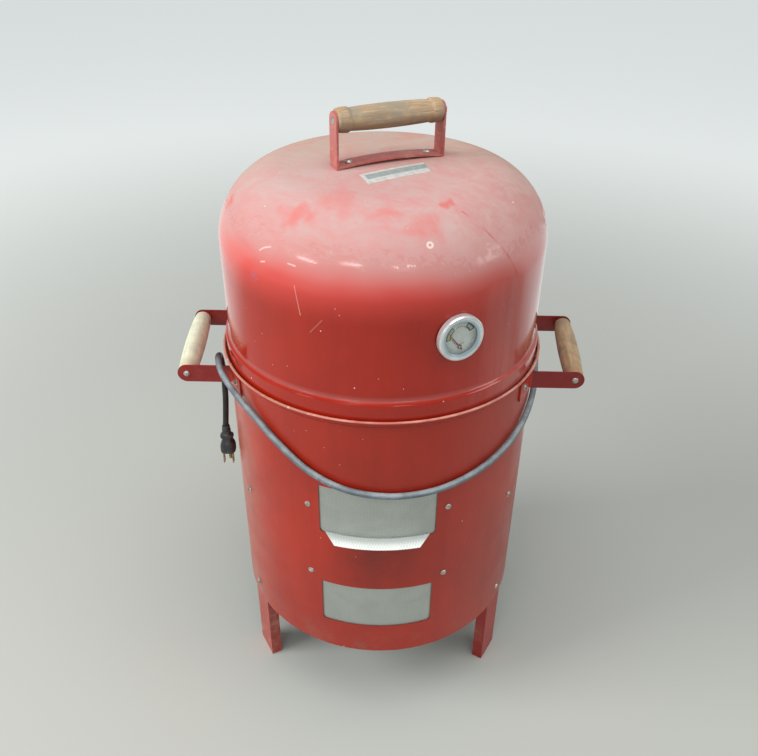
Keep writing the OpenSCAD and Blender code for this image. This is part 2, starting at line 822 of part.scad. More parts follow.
module element_plate() {
    color("silver")
        rotate([0, 0, inlet_angle])
            difference() {
                translate([-plate_w / 2, -plate_r, element_z - plate_h / 2])
                    cube([plate_w, plate_t, plate_h]);
                for (s = [-1, 1])
                    translate([s * element_lead / 2, -plate_r + plate_t + cut, element_z])
                        rotate([90, 0, 0])
                            cylinder(d = element_tube_d + 2 * hole_gap, h = plate_t + 2 * cut);
            }
}

// Ceramic block on the outside of the wall that holds the element's two ends
module terminal_block() {
    h = 20;
    color("ivory")
        rotate([0, 0, inlet_angle])
            difference() {
                translate([-plate_w / 2, -block_r, cover_z - h / 2])
                    cube([plate_w, block_r - body_r / 2, h]);
                cylinder(r = body_r + seat, h = rim_z, $fn = 720);
                for (s = [-1, 1])
                    translate([s * element_lead / 2, -body_r / 2, element_z])
                        rotate([90, 0, 0])
                            cylinder(d = element_tube_d + 2 * hole_gap, h = body_r);
            }
}

// Pressed cap over the terminals, with an ear for a screw at each side
module terminal_cover() {
    face = body_r + cover_depth;
    ear_half = arc_deg(cover_ear / 2 + cover_t, body_r);
    color("dimgray")
        difference() {
            rotate([0, 0, inlet_angle])
                difference() {
                    translate([-cover_w / 2, -face, cover_z - cover_h / 2])
                        cube([cover_w, face - body_r / 2, cover_h]);
                    translate([cover_t - cover_w / 2, cover_t - face, cover_z + cover_t - cover_h / 2])
                        cube([cover_w - 2 * cover_t, face, cover_h - 2 * cover_t]);
                    translate([0, -relief_r, cover_z - cover_h / 2 - cut])
                        cylinder(r = cord_r + relief_wall + hole_gap, h = cover_t + 2 * cut);
                }
            cylinder(r = body_r + seat, h = rim_z, $fn = 720);
        }
    color("dimgray")
        for (s = [-1, 1])
            difference() {
                wall_band(body_r + seat, body_r + seat + cover_t,
                    cover_z - cover_ear / 2, cover_z + cover_ear / 2,
                    inlet_angle + s * cover_screw_deg - ear_half,
                    inlet_angle + s * cover_screw_deg + ear_half);
                on_wall(inlet_angle + s * cover_screw_deg, body_r - cut, cover_z)
                    cylinder(d = screw_d + 2 * hole_gap, h = cover_t + 2 * cut);
            }
}

module cover_screws() {
    r = body_r + seat + cover_t + hole_gap;
    color("silver")
        for (s = [-1, 1])
            on_wall(inlet_angle + s * cover_screw_deg, r, cover_z)
                screw(screw_d, screw_head_d, r - body_ri + thread_over);
}

module cover_nuts() {
    color("silver")
        for (s = [-1, 1])
            on_wall(inlet_angle + s * cover_screw_deg, body_ri - seat - hole_gap, cover_z)
                nut(nut_d, screw_d + 2 * hole_gap, nut_h);
}

// Tapered sleeve below the terminal cover that the cord leaves from
module strain_relief() {
    top = cover_z - cover_h / 2;
    tip = cord_r + relief_wall / 2;
    neck = cord_r + relief_wall;
    root = cord_r + relief_wall * 1.5;
    flange = cord_r + relief_wall * 2;
    color("dimgray")
        translate([cord_out[0], cord_out[1], 0])
            rotate_extrude()
                polygon([[0, relief_z], [tip, relief_z], [root, top - relief_wall],
                    [flange, top - relief_wall], [flange, top - hole_gap],
                    [neck, top - hole_gap], [neck, top + cover_t + relief_wall],
                    [0, top + cover_t + relief_wall]]);
}

module power_cord() {
    count = (len(cord_points) - 1) * cord_steps;
    p = [for (k = [0 : count]) spline(cord_points, k / cord_steps)];
    t = tangents(p);
    u = normals(t);
    rings = [for (i = [0 : count], j = [0 : cord_sides - 1])
        let (a = 360 * j / cord_sides)
        p[i] + cord_r * (u[i] * cos(a) + cross(t[i], u[i]) * sin(a))];
    sides = [for (i = [0 : count - 1], j = [0 : cord_sides - 1])
        let (a = i * cord_sides + j, b = i * cord_sides + (j + 1) % cord_sides)
        each [[a, b, b + cord_sides], [a, b + cord_sides, a + cord_sides]]];
    last = count * cord_sides;
    caps = concat([[for (j = [0 : cord_sides - 1]) cord_sides - 1 - j]],
        [[for (j = [0 : cord_sides - 1]) last + j]]);
    color("slategray")
        polyhedron(rings, [for (f = concat(sides, caps)) [for (k = [len(f) - 1 : -1 : 0]) f[k]]]);
}

// Moulded plug that hangs from the cord, blades down: a grip, a waist and a tapered neck
module plug_body() {
    edge = 1.5;
    waist_z = plug_l * 0.5;
    shoulder_h = 6;
    waist_cut_r = 4;
    waist_r = plug_d / 2 - waist_cut_r;
    neck_z = waist_z + 2;
    neck_r = cord_r + relief_wall;
    tip_r = cord_r + relief_wall / 2;
    color("black")
        translate(plug_at - [0, 0, plug_l])
            rotate_extrude()
                polygon([[0, 0], [plug_d / 2 - edge, 0], [plug_d / 2, edge],
                    [plug_d / 2, waist_z - shoulder_h], [waist_r, waist_z],
                    [neck_r, neck_z], [tip_r, plug_l - seat], [0, plug_l - seat]]);
}

// Two flat blades and a longer round earth pin
module plug_blades() {
    pitch = 12.7;
    blade_w = 6.4;
    blade_t = 1.5;
    pin_d = 4.8;
    pin_over = 2;
    blade_y = -4.4;
    pin_y = 7.5;
    color("goldenrod")
        translate(plug_at - [0, 0, plug_l + blade_l]) {
            for (s = [-1, 1])
                translate([s * pitch / 2 - blade_t / 2, blade_y - blade_w / 2, 0])
                    cube([blade_t, blade_w, blade_l]);
            translate([0, pin_y, -pin_over])
                cylinder(d = pin_d, h = blade_l + pin_over);
        }
}

// Half section of the lid without its skirt, set in by the distance o
module lid_section(o, z0) {
    intersection() {
        union() {
            square([lid_r - o, shoulder_z]);
            translate([shoulder_x, shoulder_z])
                circle(r = shoulder_r - o);
            intersection() {
                translate([0, crown_z])
                    circle(r = crown_r - o, $fn = 360);
                translate([0, crown_z])
                    polygon([[0, 0], [2 * crown_r * cos(crown_deg), 2 * crown_r * sin(crown_deg)],
                        [0, 2 * crown_r]]);
            }
        }
        translate([0, z0])
            square([lid_r + 1, lid_top]);
    }
}

module lid_shell() {
    color("firebrick")
        difference() {
            rotate_extrude() {
                difference() {
                    lid_section(0, step_z + step_h);
                    lid_section(sheet, 0);
                }
                polygon([[skirt_r - sheet, skirt_z], [skirt_r, skirt_z], [skirt_r, step_z],
                    [lid_r, step_z + step_h], [lid_r, step_z + step_h + sheet],
                    [lid_r - sheet, step_z + step_h + sheet],
                    [lid_r - sheet, step_z + step_h - sheet], [skirt_r - sheet, step_z - sheet]]);
            }
            on_wall(gauge_angle, lid_r - sheet - cut, gauge_z)
                cylinder(d = stem_d + 2 * hole_gap, h = sheet + 2 * cut);
            lid_screw_places()
                translate([0, 0, -sheet - cut])
                    cylinder(d = screw_d + 2 * hole_gap, h = sheet + 2 * cut);
        }
}

// Children placed on the lid handle's own axes: turned about the lid's axis, then moved
// over the crown about the crown's centre
module on_lid_handle() {
    translate([0, 0, crown_z])
        rotate([asin(lid_handle_front / crown_r), asin(lid_handle_right / crown_r), 0])
            translate([0, 0, -crown_z])
                rotate([0, 0, lid_handle_turn])
                    children();
}

// Children placed at the two screws of the lid handle, square to the crown
module lid_screw_places() {
    for (s = [-1, 1])
        on_lid_handle()
            translate([0, 0, crown_z])
                rotate([0, s * asin(lid_screw_x / crown_r), 0])
                    translate([0, 0, crown_r])
                        children();
}

// One bent strap: a base bowed over the crown and two uprights with round tops
module lid_handle_strap() {
    color("indianred")
        difference() {
            on_lid_handle() {
                translate([0, strap_w / 2, 0])
                    rotate([90, 0, 0])
                        linear_extrude(strap_w)
                            intersection() {
                                translate([0, strap_bend_z])
                                    difference() {
                                        circle(r = strap_bend_r + strap_t, $fn = 360);
                                        circle(r = strap_bend_r, $fn = 360);
                                    }
                                translate([-strap_half, strap_foot_z])
                                    square([lid_handle_l, strap_sag + 2 * strap_t]);
                            }
                for (s = [-1, 1])
                    difference() {
                        translate([s > 0 ? strap_half - strap_t : -strap_half, 0, 0])
                            rotate([90, 0, 90])
                                linear_extrude(strap_t) {
                                    translate([-strap_w / 2, strap_foot_z])
                                        square([strap_w, lid_grip_z - strap_foot_z]);
                                    translate([0, lid_grip_z])
                                        circle(d = strap_w);
                                }
                        translate([s * strap_half, 0, lid_grip_z])
                            rotate([0, 90, 0])
                                cylinder(d = grip_bolt_d + 2 * hole_gap, h = 4 * strap_t, center = true);
                        translate([0, 0, crown_z])
                            rotate([90, 0, 0])
                                cylinder(r = strap_r, h = 2 * strap_w, center = true, $fn = 360);
                    }
            }
            lid_screw_places()
                translate([0, 0, -cut])
                    cylinder(d = screw_d + 2 * hole_gap, h = strap_bow + strap_t + 2 * cut);
        }
}

module lid_handle_screws() {
    lift = strap_off + strap_t + hole_gap + screw_head_d / 2 * tan(strap_slope);
    color("silver")
        lid_screw_places()
            translate([0, 0, lift])
                screw(screw_d, screw_head_d, lift + sheet + thread_over);
}

module lid_handle_nuts() {
    color("silver")
        lid_screw_places()
            translate([0, 0, -sheet - hole_gap])
                nut(nut_d, screw_d + 2 * hole_gap, nut_h);
}

module lid_grip() {
    collar_l = 15;
    waist_cut_d = 3.5;
    waist_d = lid_grip_collar_d - waist_cut_d;
    color("tan")
        on_lid_handle()
            translate([-lid_grip_l / 2, 0, lid_grip_z])
                rotate([0, 90, 0])
                    turned_grip(lid_grip_l, lid_grip_d, waist_d, lid_grip_collar_d, collar_l);
}

module lid_grip_bolt() {
    color("silver")
        on_lid_handle()
            translate([-strap_half - hole_gap, 0, lid_grip_z])
                rotate([0, -90, 0])
                    grip_bolt(lid_handle_l);
}

module lid_grip_nut() {
    color("silver")
        on_lid_handle()
            translate([strap_half + hole_gap, 0, lid_grip_z])
                rotate([0, -90, 0])
                    nut(grip_nut_d, grip_bolt_d + 2 * hole_gap, grip_nut_h);
}

module on_gauge() {
    on_wall(gauge_angle, lid_r, gauge_z)
        children();
}

module gauge_case() {
    bore = stem_d / 2 + hole_gap;
    color("silver")
        on_gauge()
            rotate_extrude()
                polygon([[bore, seat], [gauge_r, seat], [gauge_r, gauge_depth - gauge_edge],
                    [gauge_r - gauge_edge * 0.6, gauge_depth - gauge_edge * 0.2],
                    [gauge_r - gauge_edge * 1.3, gauge_depth],
                    [gauge_r - gauge_rim, gauge_lip_z + gauge_wall],
                    [gauge_r - gauge_rim, gauge_lip_z], [gauge_r - gauge_wall, gauge_lip_z],
                    [gauge_r - gauge_wall, seat + gauge_wall], [bore, seat + gauge_wall]]);
}

module gauge_stem() {
    head_over_d = 10;
    head_d = stem_d + head_over_d;
    head_z = seat + gauge_wall + hole_gap;
    color("silver")
        on_gauge() {
            translate([0, 0, head_z])
                cylinder(d = head_d, h = gauge_dial_z - gauge_dial_t - hole_gap - head_z);
            translate([0, 0, -stem_l])
                cylinder(d = stem_d, h = stem_l + head_z + merge);
        }
}

module gauge_nut() {
    color("silver")
        on_gauge()
            translate([0, 0, -sheet - 2 * seat])
                nut(stem_d * 1.9, stem_d + 2 * hole_gap, nut_h);
}

module gauge_dial() {
    color("whitesmoke")
        on_gauge() {
            translate([0, 0, gauge_dial_z - gauge_dial_t])
                cylinder(r = gauge_r - gauge_wall - hole_gap, h = gauge_dial_t);
            translate([0, -pivot_drop, gauge_dial_z - gauge_dial_t])
                cylinder(d = needle_pin_d, h = gauge_dial_t + seat + needle_t + needle_pin_over);
        }
}

module gauge_glass() {
    color("aliceblue", 0.3)
        on_gauge()
            translate([0, 0, gauge_lip_z - gauge_glass_t - hole_gap])
                cylinder(r = gauge_r - gauge_wall - hole_gap, h = gauge_glass_t);
}

module gauge_needle() {
    hub_d = 5;
    root_w = 2;
    tip_w = 0.7;
    color("darkred")
        on_gauge()
            translate([0, -pivot_drop, needle_z])
                rotate([0, 0, needle_rest])
                    linear_extrude(needle_t)
                        difference() {
                            union() {
                                circle(d = hub_d);
                                polygon([[-root_w / 2, -hub_d], [root_w / 2, -hub_d],
                                    [tip_w / 2, needle_l], [-tip_w / 2, needle_l]]);
                            }
                            circle(d = needle_pin_d + hole_gap);
                        }
}

// Wire grid: a rim ring with parallel bars and two cross bars
module grid(z) {
    ring_r = grid_r - grid_rim_d / 2;
    count = floor((ring_r - grid_pitch / 4) / grid_pitch);
    cross_x = grid_r / 2;
    color("gray")
        translate([0, 0, z]) {
            rotate_extrude()
                translate([ring_r, 0])
                    circle(d = grid_rim_d);
            for (i = [-count : count])
                bar(i * grid_pitch, ring_r);
            for (s = [-1, 1])
                rotate([0, 0, 90])
                    bar(s * cross_x, ring_r);
        }
}

// Bar along Y at the place x, ending inside the rim ring
module bar(x, ring_r) {
    half = sqrt(ring_r * ring_r - x * x);
    translate([x, half, 0])
        rotate([90, 0, 0])
            cylinder(d = grid_bar_d, h = 2 * half);
}

module upper_grid() { grid(upper_grid_z); }
module lower_grid() { grid(lower_grid_z); }

module water_pan() {
    z = water_pan_z;
    floor_r = pan_floor_d / 2;
    color("dimgray")
        rotate_extrude()
            polygon([[0, z - pan_depth], [floor_r, z - pan_depth], [water_pan_mouth, z],
                [water_pan_r, z], [water_pan_r, z + pan_t], [water_pan_mouth - pan_t, z + pan_t],
                [floor_r - pan_t, z - pan_depth + pan_t], [0, z - pan_depth + pan_t]]);
}

body_shell();
door_guide_left();
door_guide_right();
door_rivets();
leg_left();
leg_right();
leg_rear();
leg_screws();
leg_nuts();
handle_arm_left_front();
handle_arm_left_rear();
handle_arm_right_front();
handle_arm_right_rear();
handle_screws();
handle_nuts();
grid_rests();
grip_left();
grip_right();
grip_bolts();
grip_nuts();
reflector_pan();
heating_element();
element_stands();
element_plate();
terminal_block();
terminal_cover();
cover_screws();
cover_nuts();
strain_relief();
power_cord();
plug_body();
plug_blades();
lid_shell();
lid_handle_strap();
lid_handle_screws();
lid_handle_nuts();
lid_grip();
lid_grip_bolt();
lid_grip_nut();
gauge_case();
gauge_stem();
gauge_nut();
gauge_dial();
gauge_glass();
gauge_needle();
sliding_door();
upper_grid();
lower_grid();
water_pan();
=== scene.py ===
"""Looks of an upright electric smoker, a red drum on legs with a lift-off lid, round its CAD frame."""
import math

import bpy
import numpy as np
from mathutils import Matrix, Vector


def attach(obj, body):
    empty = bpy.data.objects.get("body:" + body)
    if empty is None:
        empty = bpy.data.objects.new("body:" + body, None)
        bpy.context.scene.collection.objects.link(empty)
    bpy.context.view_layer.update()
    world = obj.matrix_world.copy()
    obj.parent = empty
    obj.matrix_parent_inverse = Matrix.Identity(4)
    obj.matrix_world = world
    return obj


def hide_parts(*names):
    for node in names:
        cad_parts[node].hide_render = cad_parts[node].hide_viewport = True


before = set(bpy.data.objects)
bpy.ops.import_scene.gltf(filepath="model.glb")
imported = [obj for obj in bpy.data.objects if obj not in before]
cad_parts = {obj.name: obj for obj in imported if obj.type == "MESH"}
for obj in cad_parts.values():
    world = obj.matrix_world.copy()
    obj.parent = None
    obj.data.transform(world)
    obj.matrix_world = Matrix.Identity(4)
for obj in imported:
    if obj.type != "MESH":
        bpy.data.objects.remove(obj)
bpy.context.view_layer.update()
scene = bpy.context.scene
scene.view_settings.view_transform = "Standard"
MM = 0.001


# Camera: the photograph's own, found from the drum's circles and legs; the image's sides in pixels
IMAGE_W, IMAGE_H = 758, 756
FOCAL_PX = 776.1
SENSOR_W = 36.0
CLIP_NEAR, CLIP_FAR = 0.05, 50.0
CAMERA_AT = np.array([8.65, -906.91, 1051.60]) * MM
YAW, PITCH, ROLL = np.radians([-0.725, 32.912, -0.668])


def camera_axes():
    """Right, up and look: along (sin yaw cos pitch, cos yaw cos pitch, -sin pitch), then rolled about it."""
    level = math.cos(PITCH)
    look = np.array([math.sin(YAW) * level, math.cos(YAW) * level, -math.sin(PITCH)])
    side = np.array([math.cos(YAW), -math.sin(YAW), 0.0])
    down = np.cross(look, side)
    right = side * math.cos(ROLL) + down * math.sin(ROLL)
    up = side * math.sin(ROLL) - down * math.cos(ROLL)
    return right, up, look


def make_camera():
    """Camera at its place, with the photograph's angle of view."""
    right, up, look = camera_axes()
    data = bpy.data.cameras.new("camera")
    data.sensor_width = SENSOR_W
    data.lens = FOCAL_PX / IMAGE_W * SENSOR_W
    data.clip_start, data.clip_end = CLIP_NEAR, CLIP_FAR
    camera = bpy.data.objects.new("camera", data)
    turn = np.stack([right, up, -look], axis=1)
    camera.matrix_world = Matrix.Translation(Vector(CAMERA_AT)) @ Matrix(turn.tolist()).to_4x4()
    scene.collection.objects.link(camera)
    scene.camera = camera


make_camera()


# Meshes from grids of points
def grid_faces(rows, columns, close_rows=False, close_columns=False):
    """Four-cornered faces of a grid, each from a point to its next row and next column."""
    i = np.arange(rows if close_rows else rows - 1)[:, None]
    j = np.arange(columns if close_columns else columns - 1)[None, :]
    i2, j2 = (i + 1) % rows, (j + 1) % columns
    corners = (i * columns + j, i * columns + j2, i2 * columns + j2, i2 * columns + j)
    return np.stack(np.broadcast_arrays(*corners), axis=-1).reshape(-1, 4)


def make_piece(name, points, faces, body, material, stands_for=(), uv=None, smooth=True):
    """Mesh at the origin from points in metres, riding on a CAD body; uv has a row per point."""
    mesh = bpy.data.meshes.new(name)
    mesh.from_pydata(points.reshape(-1, 3).tolist(), [], [list(map(int, f)) for f in faces])
    mesh.polygons.foreach_set("use_smooth", np.full(len(mesh.polygons), smooth))
    if uv is not None:
        corner = np.empty(len(mesh.loops), dtype=np.int32)
        mesh.loops.foreach_get("vertex_index", corner)
        layer = mesh.uv_layers.new(name="UVMap")
        layer.data.foreach_set("uv", uv.reshape(-1, 2)[corner].astype(np.float32).ravel())
    mesh.materials.append(material)
    mesh.update()
    piece = bpy.data.objects.new(name, mesh)
    scene.collection.objects.link(piece)
    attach(piece, body)
    if stands_for:
        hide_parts(*stands_for)
    return piece


def capped(faces, rows, columns):
    """Faces of a tube's grid with its first and last ring closed by one face each."""
    first = [list(range(columns - 1, -1, -1))]
    last = [list(range((rows - 1) * columns, rows * columns))]
    return [*faces.tolist(), *first, *last]


def turned(radius, height, sectors):
    """Points (r cos a, r sin a, h) of a profile (r, h) turned about Z, one ring per profile point."""
    a = np.linspace(0, 2 * np.pi, sectors, endpoint=False)
    r, h = radius[:, None], height[:, None]
    return np.stack([r * np.cos(a), r * np.sin(a), np.broadcast_to(h, (len(radius), sectors))], axis=-1)


def placed(points, origin, x, y, z):
    """Points carried from their own axes to the axes x, y, z at an origin."""
    return np.asarray(origin) + points @ np.stack([x, y, z])


# Materials
def tint(red, green, blue):
    """Linear colour of a screen colour given in 0 to 255."""
    c = np.array([red, green, blue]) / 255
    return (*np.where(c <= 0.04045, c / 12.92, ((c + 0.055) / 1.055) ** 2.4), 1.0)


class Finish:
    """A material with one Principled shader, and short calls that add nodes to it and link them."""

    def __init__(self, name, **constants):
        self.material = bpy.data.materials.new(name)
        self.material.use_nodes = True
        self.tree = self.material.node_tree
        self.shader = self.tree.nodes["Principled BSDF"]
        for key, value in constants.items():
            self.set(key.replace("_", " ").title(), value)

    def feed(self, socket, source):
        """Links a socket to a node's output, or sets it to a plain value."""
        if isinstance(source, bpy.types.NodeSocket):
            self.tree.links.new(source, socket)
        else:
            socket.default_value = source

    def set(self, name, source):
        self.feed(self.shader.inputs[name], source)

    def put(self, kind, *sources, **settings):
        """New node with its settings made and its first sockets fed."""
        node = self.tree.nodes.new(kind)
        for key, value in settings.items():
            setattr(node, key, value)
        for socket, source in zip(node.inputs, sources):
            self.feed(socket, source)
        return node

    def named(self, kind, vector, **sockets):
        """New texture or mapping node on a vector, with sockets fed by name."""
        node = self.put(kind, vector)
        for key, source in sockets.items():
            self.feed(node.inputs[key], source)
        return node

    def place(self):
        return self.put("ShaderNodeTexCoord").outputs["Object"]

    def uv(self):
        return self.split(self.put("ShaderNodeTexCoord").outputs["UV"])

    def split(self, vector):
        return self.put("ShaderNodeSeparateXYZ", vector).outputs

    def join(self, x, y, z):
        return self.put("ShaderNodeCombineXYZ", x, y, z).outputs[0]

    def calc(self, operation, *values):
        return self.put("ShaderNodeMath", *values, operation=operation).outputs[0]

    def vector(self, operation, *values):
        return self.put("ShaderNodeVectorMath", *values, operation=operation).outputs

    def turn(self, vector, angle):
        """Vector turned about Z."""
        return self.named("ShaderNodeMapping", vector, Rotation=(0, 0, angle)).outputs[0]

    def stretch(self, vector, scale):
        return self.vector("MULTIPLY", vector, scale)[0]

    def noise(self, vector, scale, detail=4.0, roughness=0.55, distortion=0.0):
        sockets = dict(Scale=scale, Detail=detail, Roughness=roughness, Distortion=distortion)
        return self.named("ShaderNodeTexNoise", vector, **sockets).outputs["Fac"]

    def warp(self, place, scale, reach):
        """Place pushed about by a noise, up to about half a reach in millimetres."""
        node = self.named("ShaderNodeTexNoise", place, Scale=scale, Detail=3.0)
        push = self.vector("SUBTRACT", node.outputs["Color"], (0.5, 0.5, 0.5))[0]
        return self.vector("ADD", place, self.stretch(push, (reach * MM,) * 3))[0]

    def step(self, value, low, high, to_low=0.0, to_high=1.0):
        """Smooth step of a value from low to high."""
        sources = (value, low, high, to_low, to_high)
        return self.put("ShaderNodeMapRange", *sources, interpolation_type="SMOOTHSTEP").outputs[0]

    def times(self, first, *others):
        """Product of masks."""
        for other in others:
            first = self.calc("MULTIPLY", first, other)
        return first

    def most(self, first, *others):
        """Largest of masks."""
        for other in others:
            first = self.calc("MAXIMUM", first, other)
        return first

    def less(self, mask, taken):
        """Mask with another mask taken out of it."""
        return self.calc("MULTIPLY", mask, self.calc("SUBTRACT", 1.0, taken))

    def ramp(self, value, *stops):
        """Colour ramp through stops of place and screen colour."""
        node = self.put("ShaderNodeValToRGB", value)
        bar = node.color_ramp.elements
        while len(bar) < len(stops):
            bar.new(0.5)
        for element, (at, colour) in zip(bar, stops):
            element.position, element.color = at, tint(*colour)
        return node.outputs["Color"]

    def mix(self, share, low, high):
        """Blend of two colours, each a socket or a screen colour."""
        node = self.put("ShaderNodeMix", data_type="RGBA")
        self.feed(node.inputs["Factor"], share)
        for socket, source in zip((node.inputs[6], node.inputs[7]), (low, high)):
            self.feed(socket, tint(*source) if isinstance(source, tuple) else source)
        return node.outputs[2]

    def away(self, x, y):
        """Distance from the drum's axis."""
        squares = [self.calc("MULTIPLY", side, side) for side in (x, y)]
        return self.calc("SQRT", self.calc("ADD", *squares))

    def bump(self, height, distance, strength):
        node = self.put("ShaderNodeBump")
        for key, source in dict(Strength=strength, Distance=distance, Height=height).items():
            self.feed(node.inputs[key], source)
        self.set("Normal", node.outputs[0])

    def spot(self, place, centre, size, soft=0.3):
        """Mask of a round spot: 1 inside, falling to 0 at its size; centre and size in millimetres."""
        away = self.vector("DISTANCE", place, tuple(np.array(centre) * MM))["Value"]
        return self.step(away, size * MM, size * MM * (1 - soft))

    def line(self, place, start, end, width):
        """Mask along a straight line, by the distance to its nearest point; in millimetres."""
        start, run = np.array(start) * MM, (np.array(end) - np.array(start)) * MM
        away = self.vector("SUBTRACT", place, tuple(start))[0]
        share = self.vector("DOT_PRODUCT", away, tuple(run / (run @ run)))["Value"]
        share = self.calc("MINIMUM", self.calc("MAXIMUM", share, 0.0), 1.0)
        nearest = self.vector("MULTIPLY", self.join(share, share, share), tuple(run))[0]
        gap = self.vector("DISTANCE", away, nearest)["Value"]
        return self.step(gap, width * MM, width * MM * 0.3)

    def specks(self, place, pitch, size, share):
        """Mask of scattered specks round the centres of a share of the cells; millimetres."""
        node = self.named("ShaderNodeTexVoronoi", place, Scale=1 / (pitch * MM))
        own = self.split(node.outputs["Color"])
        reach = self.calc("MULTIPLY", own[1], size / pitch)
        near = self.calc("LESS_THAN", node.outputs["Distance"], reach)
        return self.times(near, self.calc("GREATER_THAN", own[0], 1 - share))


def dress(material, *nodes):
    """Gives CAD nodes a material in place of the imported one."""
    for name in nodes:
        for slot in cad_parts[name].material_slots:
            slot.material = material


# Power cord: the route of the CAD source in millimetres, on the same smooth curve
CORD_D, CORD_SIDES, CORD_STEPS = 8, 20, 9
INLET_DEG = 150
RELIEF_AT = (INLET_DEG, 215.5, 127)
CORD_FALL = 38
CORD_LOOP = [[108, 188, 51], [112, 195, 23], [124, 215, 6], [144, 249, 5], [168, 270, 5],
             [195, 270, 5], [215, 249, 5], [220, 214, 5], [218, 165, 6], [216, 128, 17]]
CORD_RIGHT = [[214, 112, 47], [213, 108, 115], [212, 108, 235], [211, 109, 365],
              [211, 110, 450], [211, 111, 486], [210, 102, 514], [210, 77, 532], [210, 46, 529],
              [210, 18, 515], [209, -7, 500]]
CORD_SWAG = [[74, 208, 481], [60, 208, 464], [46, 208, 450], [32, 208, 439], [18, 208, 432],
             [4, 208, 431], [-10, 208, 437], [-23, 208, 453], [-35, 208, 477], [-46, 209, 498],
             [-56, 214, 515]]
CORD_LEFT = [[-198, -93, 527], [-207, -68, 533], [-211, -41, 521], [-212, -29, 490], [-212, -34, 450]]
PLUG_AT = [-214, -43, 410]
PLUG_L = 44
# Shares of the cord's length between which its grey gives way to black
BLACK_FROM = (0.905, 0.925)
# Slope above which the cord's rings are set off from X, not Z, and how many rings share the change
STEEP, HINT_RINGS = 0.8, 25


def polar(turns):
    """Points at an angle from the front, a distance from the axis and a height."""
    a, r, z = np.asarray(turns, dtype=float).T
    return np.stack([r * np.sin(np.radians(a)), -r * np.cos(np.radians(a)), z], axis=1)


def smooth_curve(points, steps):
    """Catmull-Rom curve: 0.5 (2b + (c-a)t + (2a-5b+4c-d)t^2 + (3b-a-3c+d)t^3) on each stretch b to c."""
    ends = np.vstack([points[:1], points, points[-1:]])
    a, b, c, d = (ends[k:len(ends) - 3 + k, None, :] for k in range(4))
    t = np.linspace(0, 1, steps, endpoint=False)[None, :, None]
    square, cube = 2 * a - 5 * b + 4 * c - d, 3 * b - a - 3 * c + d
    curve = 0.5 * (2 * b + (c - a) * t + square * t ** 2 + cube * t ** 3)
    return np.vstack([curve.reshape(-1, 3), points[-1:]])


def tube(path, radius, sides):
    """Circle carried along a path: p + r (u cos a + w sin a), with u and w square to the path."""
    along = np.gradient(path, axis=0)
    along /= np.linalg.norm(along, axis=1)[:, None]
    level = np.abs(along[:, 2:3]) < STEEP
    hint = np.where(level, [[0.0, 0.0, 1.0]], [[1.0, 0.0, 0.0]])
    window = np.ones(HINT_RINGS) / HINT_RINGS
    padded = [np.pad(h, HINT_RINGS // 2, "edge") for h in hint.T]
    hint = np.stack([np.convolve(h, window, "valid") for h in padded], axis=1)
    u = np.cross(along, hint)
    u /= np.linalg.norm(u, axis=1)[:, None]
    w = np.cross(along, u)
    a = np.linspace(0, 2 * np.pi, sides, endpoint=False)[None, :, None]
    return path[:, None, :] + radius * (u[:, None, :] * np.cos(a) + w[:, None, :] * np.sin(a))


def cord_rubber():
    """Rubber gone grey with dust, lighter on its upper side with settled dust and painted highlight, and
    still black on the last stretch, which hangs to the plug.
    """
    f = Finish("cord_rubber")
    place = f.place()
    dust = f.noise(place, 55.0, 5.0, 0.65)
    grey = f.ramp(dust, (0.32, (80, 91, 99)), (0.55, (106, 117, 124)), (0.75, (140, 149, 153)))
    # Lighter on the upper side: settled dust and painted highlight
    up = f.split(f.put("ShaderNodeNewGeometry").outputs["Normal"])[2]
    settled_dust_and_sheen = f.times(f.step(up, 0.1, 0.9), f.step(dust, 0.3, 0.6, 0.25, 0.6))
    grey = f.mix(settled_dust_and_sheen, grey, (176, 186, 188))
    black = f.ramp(dust, (0.3, (20, 21, 22)), (0.8, (58, 57, 54)))
    scuffs = f.specks(place, 9, 1.6, 0.25)
    colour = f.mix(f.step(f.uv()[0], *BLACK_FROM), grey, black)
    f.set("Base Color", f.mix(f.times(scuffs, 0.5), colour, (190, 190, 184)))
    f.set("Roughness", f.step(dust, 0.25, 0.75, 0.36, 0.66))
    f.bump(f.noise(place, 700.0, 3.0), 0.0003, 0.4)
    return f.material


def make_cord():
    """Round cord along the route, its UV running from 0 at the exit to 1 at the plug."""
    exit_point = polar([RELIEF_AT])
    route = np.vstack([exit_point, exit_point - [0, 0, CORD_FALL], CORD_LOOP, CORD_RIGHT,
                       polar(CORD_SWAG), CORD_LEFT, [PLUG_AT]]) * MM
    path = smooth_curve(route, CORD_STEPS)
    points = tube(path, CORD_D / 2 * MM, CORD_SIDES)
    run = np.concatenate([[0], np.cumsum(np.linalg.norm(np.diff(path, axis=0), axis=1))])
    u = np.broadcast_to((run / run[-1])[:, None], points.shape[:2])
    v = np.broadcast_to(np.linspace(0, 1, CORD_SIDES)[None, :], points.shape[:2])
    faces = capped(grid_faces(len(path), CORD_SIDES, close_columns=True), len(path), CORD_SIDES)
    cord = make_piece("cord", points, faces, "drum", cord_rubber(), ["power_cord"],
                      np.stack([u, v], axis=-1))
    return cord, path, float(run[-1])


